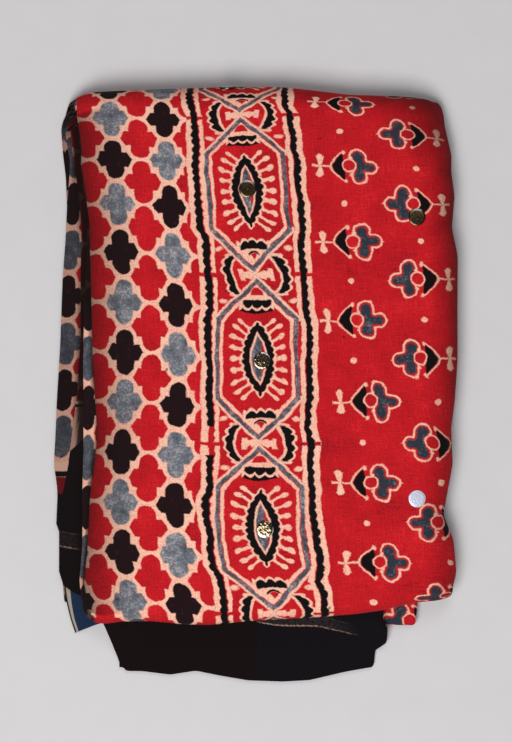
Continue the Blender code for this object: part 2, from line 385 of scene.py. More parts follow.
@dataclass(frozen=True)
class FoldShade:
    """Painted shade between the folds, as shares of the whole dark and reaches in millimetres."""

    strip: float = 0.54  # on the lower half where it lies open on the left
    under_side: Rise = Rise(-9.5, 5.0)  # there, towards the upper half's side
    strip_back: float = 0.9  # and at the back
    strip_end: Rise = Rise(160.0, 30.0)
    under_edge: Rise = Rise(-3.4, 3.2)  # on the top level's second selvage, towards the first
    channel: Rise = Rise(40.0, 25.0)  # and along it, towards the back
    bottom: float = 0.7  # on the levels below the lower half's top
    middle: float = 0.9  # on the hidden levels of the upper half
    turned: float = 0.93  # on crosswise folds that show past the left side
    power: float = 1.7  # how late the sides darken on their rolls
    rolled: float = 0.72  # on the left roll
    roll_reach: float = 48.0
    folded: float = 0.70  # on the right roll
    fold_reach: float = 24.0
    front: float = 0.30  # share of that at the front
    towards_back: Rise = Rise(-100.0, 170.0)
    corner: float = 0.62  # at the back right corner
    corner_from: float = 242.0
    corner_reach: float = 50.0
    most: float = 0.985


@dataclass
class FoldedSheet:
    """The folded cloth as one grid of points, with its print and bake coordinates."""

    sheet: float = 0.70
    pitch: float = 1.35
    layers: int = 4
    tuck: float = 4.0
    flat_turn: float = 0.75
    side_place: float = 135.0  # where a row's place is read for its sides
    ease: float = 5.0  # how far the corners of the folds' lines are rounded off
    cut_ease: float = 2.0  # and those of the cut ends
    side_ease: float = 3.5  # and those of the sides
    bared_ease: float = 1.5  # but less on level 4, where each layer's corners show
    bared_crowding: float = 1.75  # how much closer the rows of level 4 lie where it slides out
    striped_crowding: float = 1.6  # and those of level 3
    slump_ease: tuple[float, float] = (6.0, 10.0)  # of the slump across and along
    width: float = 275.0  # about the width of one layer, for spacing the columns
    near_left: tuple[float, ...] = (0.0, 1.4, 3.0, 5.0, 7.5, 11.0, 15.5)
    near_right: tuple[float, ...] = (0.0, 1.8, 4.0, 7.0, 11.0, 15.5)
    a_middle: int = 55
    b_middle: int = 5
    c_middle: int = 3
    outer_steps: int = 8
    tight_steps: int = 5
    lip: float = -174.0  # where the plain end begins to droop
    floor_line: float = -207.0  # where it lies on the floor
    spread: float = 16.0  # how far its lowest layer lies back
    striped_lip: float = -164.0
    striped_low: float = -190.0
    striped_lift: float = 0.42
    right_round: float = 24.0  # how far in from the right side the top rounds down
    right_drop: float = 0.42  # share of its height that it has lost there
    left_round: float = 32.0
    left_drop: float = 0.26
    slow: float = 28.0  # how far the rounding evens out the sides' wanderings
    corner_slant: float = 0.8  # the back right corner droops past a line: x plus this times y
    corner_from: float = 232.0
    corner_reach: float = 72.0
    corner_drop: float = 0.22
    low_stretch: float = 0.058  # how much the print on level 4 is drawn together past a place
    low_stretch_from: float = -50.0
    shade: FoldShade = FoldShade()

    @property
    def strip(self) -> float:
        """Height of one level."""
        return self.layers * self.pitch

    @property
    def whole(self) -> float:
        """Height of the whole pile."""
        return len(LEVELS) * self.strip

    @property
    def a_columns(self) -> int:
        """How many columns layer A has."""
        return len(self.near_left) + len(self.near_right) + self.a_middle

    def spread_shares(self, middle_count: int) -> np.ndarray:
        """Places columns across a layer: close together near its sides, and evenly between.

        Args:
            middle_count: How many lie between those near the sides.

        Returns:
            Each one's share of the way across.
        """
        left = np.array(self.near_left) / self.width
        right = 1 - np.array(self.near_right)[::-1] / self.width
        middle = np.linspace(left[-1], right[0], middle_count + 2)[1:-1]
        return np.concatenate([left, middle, right])

    def straight(
        self, middle_count: int, hangs: tuple[float, float], height: float, layer: Layer
    ) -> np.ndarray:
        """Works out a straight run of the section, right across the strip.

        Args:
            middle_count: How many columns it has between those that lie close to its sides.
            hangs: 1 where it hangs from the tucked fold, and 1 where from the second selvage.
            height: Its height in the level.
            layer: The layer that it makes.

        Returns:
            A Section's fields as rows, one column a point.
        """
        share = self.spread_shares(middle_count)
        if layer in (Layer.D, Layer.B):
            share = share[::-1]
        same = np.ones(len(share))
        values = (hangs[0], hangs[1], 0.0, height, layer.value)
        return np.stack([share, *(value * same for value in values)])

    def bend(
        self, radius: float, centre: float, facing: tuple[int, int], layer: Layer
    ) -> np.ndarray:
        """Works out a half circle between two straight runs.

        Sideways it reaches out by the sine of its angle, and its height goes from one side of its
        centre to the other with the cosine.

        Args:
            radius: Its radius.
            centre: The height of its centre in the level.
            facing: 1 on the right and -1 on the left; then 1 where it rises and -1 where it falls.
            layer: The layer before it.

        Returns:
            A Section's fields as rows, one column a point.
        """
        side, rising = facing
        count = self.outer_steps if layer is Layer.A else self.tight_steps
        angle = np.linspace(0, np.pi, count + 1)[1:-1]
        same = np.ones(len(angle))
        out, up = side * radius * np.sin(angle), centre - rising * radius * np.cos(angle)
        ends = [same * (side > 0), same * (side < 0), 0 * same]
        return np.stack([*ends, out, up, layer.value * same])

    def section(self, offset: float) -> Section:
        """Works out the section folded in four.

        The cloth runs along layer A, round to D, back under to C and up to B: straight runs with
        half circles between them, every circle about the middle of the layers that it joins.

        Args:
            offset: How far this surface lies off the sheet's middle.

        Returns:
            The section, one entry a column.
        """
        middle = self.strip / 2
        outer, tight = 1.5 * self.pitch, 0.5 * self.pitch
        low = middle - self.pitch
        parts = [
            self.straight(self.a_middle, (0, 0), middle + outer + offset, Layer.A),
            self.bend(outer + offset, middle, (1, -1), Layer.A),
            self.straight(self.b_middle, (1, 0), middle - outer - offset, Layer.D),
            self.bend(tight + offset, low, (-1, 1), Layer.D),
            self.straight(self.c_middle, (1, 0), middle - tight + offset, Layer.C),
            self.bend(tight - offset, middle, (1, 1), Layer.C),
            self.straight(self.b_middle, (0, 1), middle + tight - offset, Layer.B),
        ]
        return Section(*np.concatenate(parts, axis=1))

    def sides(
        self, number: int, y_left: np.ndarray, y_right: np.ndarray
    ) -> tuple[np.ndarray, ...]:
        """Reads where a level's sides lie.

        Args:
            number: The level.
            y_left: Place along the pile at the left side.
            y_right: The same at the right side.

        Returns:
            The first selvage, the second one's step and the right side.
        """
        level = LEVELS[number]
        ease = self.bared_ease if number == TURNS[0].first else self.side_ease
        return (
            eased(level.sides, y_left, 1, ease) + level.left,
            np.maximum(eased(level.sides, y_left, 2, ease) + level.step, 0.0),
            eased(level.sides, y_right, 3, ease) + level.right,
        )

    def edge(self, edge: Edge, x: np.ndarray) -> np.ndarray:
        """Reads one of the lines across the pile.

        Args:
            edge: Which line.
            x: Where to read it.

        Returns:
            Its y there.
        """
        folded = edge.value < Edge.PLAIN_CUT.value
        return eased(EDGE_LINES[edge], x, 1, self.ease if folded else self.cut_ease)

    def turn_reach(self, turn: Turn) -> float:
        """How far a turn reaches beyond its centre line."""
        return self.flat_turn * (abs(turn.first - turn.second) + 1) * self.strip / 2

    def bound(self, turn: Turn) -> tuple[Edge, float]:
        """Finds where a turn starts.

        Args:
            turn: The crosswise fold.

        Returns:
            Its edge line, and how far from that line the turn starts.
        """
        inside = turn.inset + self.turn_reach(turn)
        return turn.edge, -inside if turn.edge is Edge.BACK else inside

    def run_rows(
        self, number: int, upright: bool, begin: tuple[Edge, float], end: tuple[Edge, float]
    ) -> Rows:
        """Works out the rows of one level.

        Each row's place is a share of the way from one edge line to the other.

        Args:
            number: The level.
            upright: Whether its layer A is on top.
            begin: The edge line that it starts from, and the distance from it.
            end: The edge line that it runs to, and the distance from it.

        Returns:
            The rows.
        """
        level = LEVELS[number]
        share = np.linspace(0, 1, level.rows)
        if number == TURNS[0].first:
            share = share**self.bared_crowding
        if number == TURNS[-1].second:
            share = 1 - (1 - share) ** self.striped_crowding
        weight = np.zeros((level.rows, len(Edge)))
        weight[:, begin[0].value] += 1 - share
        weight[:, end[0].value] += share
        place = (1 - share) * begin[1] + share * end[1]
        side = np.full(level.rows, self.side_place)
        lines = np.array([[self.edge(edge, -side), self.edge(edge, side)] for edge in Edge])
        y_left = (weight * lines[:, 0].T).sum(axis=1) + place
        y_right = (weight * lines[:, 1].T).sum(axis=1) + place
        left, step, right = self.sides(number, y_left, y_right)
        same = np.ones(level.rows)
        start = (number - 1) * self.strip if upright else number * self.strip
        return Rows(
            weight, place, y_up=0 * same, z=start * same, z_up=same if upright else -same,
            left=left, step=step, right=right, level=number * same,
            plain=same * (number == TURNS[0].first), striped=same * (number == TURNS[-1].second),
        )

    def turn_rows(self, turn: Turn, upright: bool) -> Rows:
        """Works out the rows round one crosswise fold.

        Half an ellipse about a line between its two levels: every layer keeps its own distance
        from that line in height, and a share of it in depth.

        Args:
            turn: The fold.
            upright: Whether the level before it has its layer A on top.

        Returns:
            The rows between the two levels.
        """
        angle = np.linspace(0, np.pi, turn.rows + 2)[1:-1]
        same = np.ones(turn.rows)
        centre = (turn.first + turn.second - 1) * self.strip / 2
        start = (turn.first - 1) * self.strip if upright else turn.first * self.strip
        up = 1.0 if upright else -1.0
        outward = 1.0 if turn.edge is Edge.BACK else -1.0
        above = np.sign(start + up * self.strip / 2 - centre)
        along, rise = outward * self.flat_turn * np.sin(angle) * above, np.cos(angle)
        edge, inside = self.bound(turn)
        weight = np.zeros((turn.rows, len(Edge)))
        weight[:, edge.value] = 1
        side = np.array([self.side_place])
        y_left, y_right = self.edge(edge, -side) + inside, self.edge(edge, side) + inside
        first = self.sides(turn.first, y_left, y_right)
        second = self.sides(turn.second, y_left, y_right)
        share = eased_step(angle / np.pi)
        left, step, right = (a + share * (b - a) for a, b in zip(first, second))
        return Rows(
            weight, inside + along * (start - centre), y_up=along * up,
            z=centre + rise * (start - centre), z_up=rise * up,
            left=left, step=step, right=right, level=0 * same, plain=0 * same, striped=0 * same,
        )

    def rows(self) -> Rows:
        """Works out every row, from the plain end to the striped end.

        Returns:
            The rows of all levels, each with the turn that follows it.
        """
        made: list[Rows] = []
        begin = (Edge.PLAIN_CUT, 0.0)
        for number, turn in enumerate(TURNS):
            upright = number % 2 == 0
            made.append(self.run_rows(turn.first, upright, begin, self.bound(turn)))
            made.append(self.turn_rows(turn, upright))
            begin = self.bound(turn)
        made.append(self.run_rows(TURNS[-1].second, False, begin, (Edge.STRIPED_CUT, 0.0)))
        names = [entry.name for entry in fields(Rows)]
        return Rows(*(np.concatenate([getattr(part, name) for part in made]) for name in names))

    def relief(self, x: np.ndarray, y: np.ndarray) -> np.ndarray:
        """Works out how far the top of the pile rises over its even height.

        The sum of long sine waves and of creases, each a bell curve of the distance from its line.

        Args:
            x: Place across.
            y: Place along.

        Returns:
            The rise in millimetres, to be scaled with the height in the pile.
        """
        rise = np.zeros_like(x)
        for swell in SWELLS:
            turn = 2 * np.pi * (x / swell.x_length + y / swell.y_length) + swell.start
            rise += swell.height * np.sin(turn)
        for crease in CREASES:
            run_x, run_y = crease.x_to - crease.x_from, crease.y_to - crease.y_from
            far = (x - crease.x_from) * run_x + (y - crease.y_from) * run_y
            share = np.clip(far / (run_x**2 + run_y**2), 0, 1)
            away = np.hypot(x - crease.x_from - share * run_x, y - crease.y_from - share * run_y)
            rise -= crease.depth * np.exp(-((away / crease.width) ** 2))
        return rise

    def slump(self, x: np.ndarray, y: np.ndarray) -> np.ndarray:
        """Works out what share of its height the pile loses at each place.

        Both long sides round down with the square of the distance past where the rounding starts,
        and the rest is read from the lines across and along.

        Args:
            x: Place across.
            y: Place along.

        Returns:
            The share lost.
        """
        left = eased(UPPER_SIDES, y, 1, self.slow)
        right = eased(UPPER_SIDES, y, 3, self.slow)
        on_left = np.clip((left + self.left_round - x) / self.left_round, 0, 1.3) ** 2
        on_right = np.clip((x - right + self.right_round) / self.right_round, 0, 1.15) ** 2.2
        lost = self.left_drop * on_left + self.right_drop * on_right
        past = x + self.corner_slant * y - self.corner_from
        lost = lost + self.corner_drop * np.clip(past / self.corner_reach, 0, 1.1) ** 2
        across, along = self.slump_ease
        return lost + eased(ACROSS_LINES, x, 1, across) + eased(ALONG_LINES, y, 1, along)

    def across(self, rows: Rows, section: Section) -> np.ndarray:
        """Works out x: a share of the way from the left side to where the wraps begin.

        Args:
            rows: The rows.
            section: The section.

        Returns:
            An array of rows by columns, in millimetres.
        """
        tuck = np.minimum(self.tuck, 0.45 * rows.step - 0.5)
        left = rows.left[:, None] - section.step * rows.step[:, None]
        left = left - section.tuck * tuck[:, None]
        right = rows.right[:, None] - self.strip / 2
        return left + section.share * (right - left) + section.shift

    def line_place(self, rows: Rows, x: np.ndarray) -> np.ndarray:
        """Works out y on the rows' own lines, without what the height adds.

        Args:
            rows: The rows.
            x: Place across, rows by columns.

        Returns:
            The y, rows by columns.
        """
        lines = np.array([self.edge(edge, x) for edge in Edge])
        return np.einsum("re,erc->rc", rows.weight, lines) + rows.place[:, None]

    def surface(self, rows: Rows, offset: float) -> np.ndarray:
        """Works out the points of one surface of the sheet.

        Every row lies on its line across the pile, with the layers piled along the row's own
        direction. The ends droop, and the whole pile is then lowered by its slump and raised by
        its relief, both in proportion to height, so that the layers keep their order.

        Args:
            rows: The rows.
            offset: How far this surface lies off the sheet's middle.

        Returns:
            An array of rows by columns by three, in millimetres.
        """
        section = self.section(offset)
        x = self.across(rows, section)
        line = self.line_place(rows, x)
        out = eased_step((self.lip - line) / (self.lip - self.floor_line))
        back = self.spread * out * rows.plain[:, None] * (1 - section.height / self.strip)
        y = line + rows.y_up[:, None] * section.height + back
        z = rows.z[:, None] + rows.z_up[:, None] * section.height
        base = (TURNS[0].first - 1) * self.strip
        z = z - base * out * rows.plain[:, None]
        hang = eased_step((self.striped_lip - line) / (self.striped_lip - self.striped_low))
        low = (TURNS[-1].second - 1) * self.strip * (1 - self.striped_lift)
        z = z - low * hang * rows.striped[:, None]
        z = z - (self.pitch - self.sheet) / 2
        z = z * (1 - self.slump(x, y))
        z = z * (1 + self.relief(x, y) / self.whole)
        return np.stack([x, y, z], axis=-1)

    def between(self, table: tuple, x: np.ndarray, y: np.ndarray, ease: float) -> np.ndarray:
        """Reads a table of three curves along the pile, and runs between them across it.

        Args:
            table: Rows of y and of the values at the left, in the middle and at the right.
            x: Place across.
            y: Place along.
            ease: Half the width of the window that rounds the curves.

        Returns:
            The value at each place.
        """
        lines = [eased(table, y, column, ease) for column in (1, 2, 3)]
        left, middle, right = LEAN_PLACES
        first = np.maximum((x - left) / (middle - left), 0)
        second = (x - middle) / (right - middle)
        near = lines[0] + first * (lines[1] - lines[0])
        far = lines[1] + second * (lines[2] - lines[1])
        return near + eased_step((x - middle + LEAN_BLEND) / (2 * LEAN_BLEND)) * (far - near)

    def lean(self, x: np.ndarray, y: np.ndarray) -> np.ndarray:
        """Works out how far the print has shifted to the right on the top layer.

        Args:
            x: Place across.
            y: Place along.

        Returns:
            The shift in millimetres, read from the table.
        """
        return self.between(LEAN_LINES, x, y, 20.0)

    def drift(self, x: np.ndarray, y: np.ndarray) -> np.ndarray:
        """Works out how far the print runs ahead of y there.

        Args:
            x: Place across.
            y: Place along.

        Returns:
            The table's value, and more past the back right corner's line.
        """
        past = x + CORNER_LINE[0] * y - CORNER_LINE[1]
        return self.between(DRIFT_LINES, x, y, 6.0) + CORNER_RUN * np.maximum(past, 0)

    def crevice(self, rows: Rows, points: np.ndarray) -> np.ndarray:
        """Works out the painted shade for how little light each place gets between the folds.

        On the lower half it grows towards the upper half's left side; on the top level's own
        second selvage it grows towards the first selvage above it, and wholly so at the back. On
        the top itself it grows a little towards both long sides, where the cloth rolls under.

        Args:
            rows: The rows.
            points: The face's points.

        Returns:
            From 0 in the open to nearly 1 in the deepest place, rows by columns.
        """
        shade = self.shade
        x, y = points[..., 0], points[..., 1]
        left, step, right = self.sides(8, y, y)
        level = rows.level[:, None]
        under_b = self.section(0.0).layer[None, :] == Layer.B.value
        low = np.maximum(shade.under_side.rise(x - left + step), shade.strip)
        low = (level == 4) * np.maximum(low, shade.strip_back * shade.strip_end.rise(y))
        inside = np.maximum(shade.under_edge.rise(x - left), shade.channel.rise(y))
        own = (level == 8) * under_b * inside
        bottom = ((level > 0) & (level < 4)) * shade.bottom
        middle = ((level > 4) & (level < 8)) * shade.middle
        turned = (level == 0) * (x < left) * shade.turned
        on_top = (level == 8) * (1 - under_b)
        bend, roll = shade.power, on_top * shade.rolled
        rolled = roll * np.clip((left - x) / shade.roll_reach + 1, 0, 1) ** bend
        backward = shade.front + (1 - shade.front) * shade.towards_back.rise(y)
        near_fold = np.clip((x - right) / shade.fold_reach + 1, 0, 1) ** bend
        folded = on_top * shade.folded * backward * near_fold
        past = (x + self.corner_slant * y - shade.corner_from) / shade.corner_reach
        corner = (y > 0) * shade.corner * np.clip(past, 0, 1)
        on_left = np.maximum.reduce([low, own, bottom + 0 * x, middle + 0 * x, turned, rolled])
        return shade.most * np.where(x < 0, on_left, np.maximum(folded, corner))

    def print_measure(self, rows: Rows) -> np.ndarray:
        """Works out the print's flat coordinates on the sheet.

        The first runs across the cloth from the first selvage, and the second along it from the
        plain end. On the top layer they are x and y less the print's lean and stretch, and
        elsewhere they are lengths along the sheet. Slack is let in on hidden layers only.

        Args:
            rows: The rows.

        Returns:
            An array of rows by columns by two, in millimetres.
        """
        section = self.section(0.0)
        points = self.surface(rows, 0.0)
        x, y = points[..., 0], points[..., 1]
        steps = np.linalg.norm(np.diff(points, axis=1), axis=-1)
        length = np.concatenate([np.zeros((len(steps), 1)), np.cumsum(steps, axis=1)], axis=1)
        turns_8 = self.near_top(rows)[:, None]
        on_a = np.arange(length.shape[1]) < self.a_columns
        leaned = x - self.lean(x, y)
        start = np.flatnonzero(rows.level == 1)[0]
        number = np.arange(len(rows.level))
        lain = eased_step((number - start) / LEVELS[1].rows)
        own = SELVAGE_U + length - FLAP_SHIFT.x * lain[:, None]
        last = self.a_columns - 1
        own_on_8 = np.where(on_a, leaned, leaned[:, [last]] + length - length[:, [last]])
        across = own + turns_8 * (own_on_8 - own)
        slack = SECOND_SELVAGE_U - across[:, [-1]]
        hidden = section.layer == Layer.C.value
        ramp = np.cumsum(hidden) / hidden.sum()
        across = across + slack * ramp

        line = self.line_place(rows, x)
        middle = int(np.argmin(abs(section.share[: self.a_columns] - 0.5)))
        walk = points[:, middle]
        along = np.concatenate([[0.0], np.cumsum(np.linalg.norm(np.diff(walk, axis=0), axis=-1))])
        top = rows.level == 8
        first, end = np.flatnonzero(top)[[0, -1]]
        walked = line[:, middle]
        measure = np.where(top, walked, along)
        measure[:first] = walked[first] - (along[first] - along[:first])
        measure[end + 1 :] = walked[end] + (along[end + 1 :] - along[end])
        measure = measure + FLAP_SHIFT.y * lain
        fourth = rows.level == 4
        zero = np.interp(0.0, walked[fourth], measure[fourth])
        fifth = np.flatnonzero(rows.level == 5)
        need = END_V - zero
        last = walked[np.minimum(number, np.flatnonzero(fourth)[-1])]
        longer = self.low_stretch * np.maximum(last - self.low_stretch_from, 0.0)
        measure = measure + (need + longer) * (1 - eased_step((number - fifth[0]) / len(fifth)))
        down = measure[:, None] + rows.z_up[:, None] * (line - walked[:, None])
        return np.stack([across, down + turns_8 * self.drift(x, y)], axis=-1)

    def near_top(self, rows: Rows) -> np.ndarray:
        """Works out how far each row takes its print from the top layer.

        Args:
            rows: The rows.

        Returns:
            1 on level 8, fading to 0 over the level before it and the one after.
        """
        number = np.arange(len(rows.level))
        first, end = np.flatnonzero(rows.level == 8)[[0, -1]]
        before = TURNS[1].rows + LEVELS[5].rows
        after = TURNS[2].rows + LEVELS[1].rows
        rise = eased_step((number - (first - before)) / (before - TURNS[1].rows))
        fall = eased_step(((end + after) - number) / (after - TURNS[2].rows))
        return rise * fall

    def bake_measure(self, rows: Rows) -> np.ndarray:
        """Lays the sheet out for baking, giving most room to what shows.

        Each column and each row gets a share of the width and the height, and the layout is
        their running sums, so that it never overlaps.

        Args:
            rows: The rows.

        Returns:
            Places from 0 to 1, rows by columns by two.
        """
        section = self.section(0.0)
        room = {Layer.A.value: 0.66, Layer.D.value: 0.12, Layer.C.value: 0.08, Layer.B.value: 0.14}
        counts = np.bincount(section.layer.astype(int), minlength=len(Layer))
        width = np.array([room[int(layer)] / counts[int(layer)] for layer in section.layer])
        shares = {8: 0.60, 4: 0.14, 0: 0.14, 3: 0.04}
        weights = np.array([shares.get(int(level), 0.016) for level in rows.level])
        for level in np.unique(rows.level):
            here = rows.level == level
            weights[here] /= here.sum()
        across, down = np.cumsum(width), np.cumsum(weights)
        grid = np.meshgrid(across / across[-1], down / down[-1])
        return np.stack(grid, axis=-1)


def quads_of(index: np.ndarray) -> np.ndarray:
    """Four corners of every cell of a grid of point numbers, its outside facing out."""
    corners = [index[:-1, :-1], index[:-1, 1:], index[1:, 1:], index[1:, :-1]]
    return np.stack([corner.ravel() for corner in corners], axis=-1)


def rim_of(line: np.ndarray, other: np.ndarray) -> np.ndarray:
    """Four corners of every cell of the narrow wall between two lines of point numbers."""
    return np.stack([line[:-1], other[:-1], other[1:], line[1:]], axis=-1)


def put_in_mesh(name: str, points: np.ndarray, faces: np.ndarray) -> bpy.types.Object:
    """Makes an object from points in millimetres and faces of four corners.

    Args:
        name: The object's name.
        points: Points, one a line.
        faces: Point numbers, four a line.

    Returns:
        The object, at the origin and in the scene.
    """
    mesh = bpy.data.meshes.new(name)
    mesh.vertices.add(len(points))
    mesh.vertices.foreach_set("co", (points * MM).astype(np.float32).ravel())
    mesh.loops.add(faces.size)
    mesh.loops.foreach_set("vertex_index", faces.astype(np.int32).ravel())
    mesh.polygons.add(len(faces))
    mesh.polygons.foreach_set("loop_start", np.arange(0, faces.size, 4, dtype=np.int32))
    mesh.update(calc_edges=True)
    mesh.validate()
    made = bpy.data.objects.new(name, mesh)
    bpy.context.scene.collection.objects.link(made)
    return made


def put_map(mesh: bpy.types.Mesh, name: str, places: np.ndarray) -> None:
    """Gives a mesh a UV map, with one place for each corner of each face."""
    layer = mesh.uv_layers.new(name=name)
    layer.uv.foreach_set("vector", places.astype(np.float32).ravel())


@dataclass
class AjrakhCloth:
    """The cloth: its mesh, its maps and its printed cotton."""

    shape: FoldedSheet
    name: str = "ajrakh_cloth"
    # The attribute that holds the painted shade
    shade_name: str = "crevice"
    face_share: float = 0.90  # of the bake layout, for the printed face
    inner_from: float = 0.91
    crease_angle: float = 55.0
    flat: tuple[float, float] = field(init=False, default=(0.0, 0.0))  # width and length in metres
    striped_v: float = field(init=False, default=0.0)  # the print's measure at the striped cut

    def build(self) -> bpy.types.Object:
        """Builds the closed sheet from its two surfaces and the rims between them.

        Returns:
            The cloth, with its maps and its painted shade.
        """
        rows = self.shape.rows()
        face = self.shape.surface(rows, self.shape.sheet / 2)
        inner = self.shape.surface(rows, -self.shape.sheet / 2)
        count = face.shape[0] * face.shape[1]
        index = np.arange(count).reshape(face.shape[:2])
        under = index + count
        rims = [
            rim_of(index[0], under[0]),
            rim_of(index[-1, ::-1], under[-1, ::-1]),
            rim_of(index[::-1, 0], under[::-1, 0]),
            rim_of(index[:, -1], under[:, -1]),
        ]
        faces = np.concatenate([quads_of(index), quads_of(under)[:, ::-1], *rims])
        points = np.concatenate([face.reshape(-1, 3), inner.reshape(-1, 3)])
        cloth = put_in_mesh(self.name, points, faces)
        mesh = cloth.data
        measure = self.shape.print_measure(rows).reshape(-1, 2) * MM
        put_map(mesh, "Cloth", np.concatenate([measure, measure])[faces])
        put_map(mesh, "OFBake", self.bake_places(rows, faces, rims))
        mesh.uv_layers["Cloth"].active_render = True
        mesh.shade_smooth()
        mesh.set_sharp_from_angle(angle=np.radians(self.crease_angle))
        self.flat = ((SECOND_SELVAGE_U - SELVAGE_U) * MM, float(np.ptp(measure[:, 1])))
        self.striped_v = float(measure[:, 1].max() / MM)
        # Painted shade: how dark each point is painted where the folds lie deep or roll under
        shade = mesh.attributes.new(self.shade_name, "FLOAT", "POINT")
        deep = self.shape.crevice(rows, face)
        shade.data.foreach_set("value", np.tile(deep.ravel(), 2).astype(np.float32))
        return cloth

    def bake_places(self, rows: Rows, faces: np.ndarray, rims: list[np.ndarray]) -> np.ndarray:
        """Lays out the face, the inner side above it and the rims in four strips on the right.

        Args:
            rows: The rows.
            faces: The point numbers of every face, the rims' last.
            rims: The faces of each rim.

        Returns:
            A place for each corner of each face.
        """
        layout = self.shape.bake_measure(rows).reshape(-1, 2)
        room = np.array([0.985, 1.0])
        face = layout * room * [1, self.face_share]
        inner = layout * room * [1, 0.995 - self.inner_from] + [0, self.inner_from]
        places = np.concatenate([face, inner])[faces]
        start = len(faces) - sum(len(rim) for rim in rims)
        strips = [(0.988, 0.990), (0.991, 0.993), (0.994, 0.996), (0.997, 0.999)]
        for rim, (low, high) in zip(rims, strips):
            ends = np.linspace(0.001, 0.899, len(rim) + 1)
            cell = [[low, ends[:-1]], [high, ends[:-1]], [high, ends[1:]], [low, ends[1:]]]
            corners = [np.stack([np.full(len(rim), a), b], axis=-1) for a, b in cell]
            places[start : start + len(rim)] = np.stack(corners, axis=1)
            start += len(rim)
        return places

    def declare(self, cloth: bpy.types.Object, mirrors: list[bpy.types.Object]) -> None:
        """Says what the cloth stands for and rides on.

        Args:
            cloth: The cloth.
            mirrors: The pieces sewn on; not used.
        """
        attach(cloth, "root")
        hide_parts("cloth")


# ---- Nodes ----


def linear(code: str) -> tuple[float, float, float, float]:
    """Turns an sRGB hex value into a linear colour.

    Each channel over 0.04045 is (channel + 0.055) / 1.055 to the power 2.4, and channel /
    12.92 below.

    Args:
        code: Six hex digits.

    Returns:
        Red, green, blue and 1.
    """
    channels = np.array([int(code[place : place + 2], 16) for place in (0, 2, 4)]) / 255
    lit = np.where(channels > 0.04045, ((channels + 0.055) / 1.055) ** 2.4, channels / 12.92)
    return (*(float(channel) for channel in lit), 1.0)


def new_tree(holder: Union[bpy.types.Material, bpy.types.World]) -> bpy.types.NodeTree:
    """Gives a material or a world an empty node tree.

    Args:
        holder: The material or the world.

    Returns:
        Its node tree.
    """
    holder.use_nodes = True
    holder.node_tree.nodes.clear()
    return holder.node_tree


def add_node(
    tree: bpy.types.NodeTree, kind: str, links: dict[Union[int, str], object], **settings: object
) -> bpy.types.Node:
    """Adds a shader node with its settings and links.

    Args:
        tree: The node tree.
        kind: The node's type, after the words that all shader nodes' types start with.
        links: For each input, by number or name, the output that feeds it or the value set on it.
        **settings: Its own properties.

    Returns:
        The node.
    """
    node = tree.nodes.new("ShaderNode" + kind)
    for name, value in settings.items():
        setattr(node, name, value)
    for place, value in links.items():
        if isinstance(value, bpy.types.NodeSocket):
            tree.links.new(value, node.inputs[place])
        else:
            node.inputs[place].default_value = value
    return node


Number = Union["Field", float]


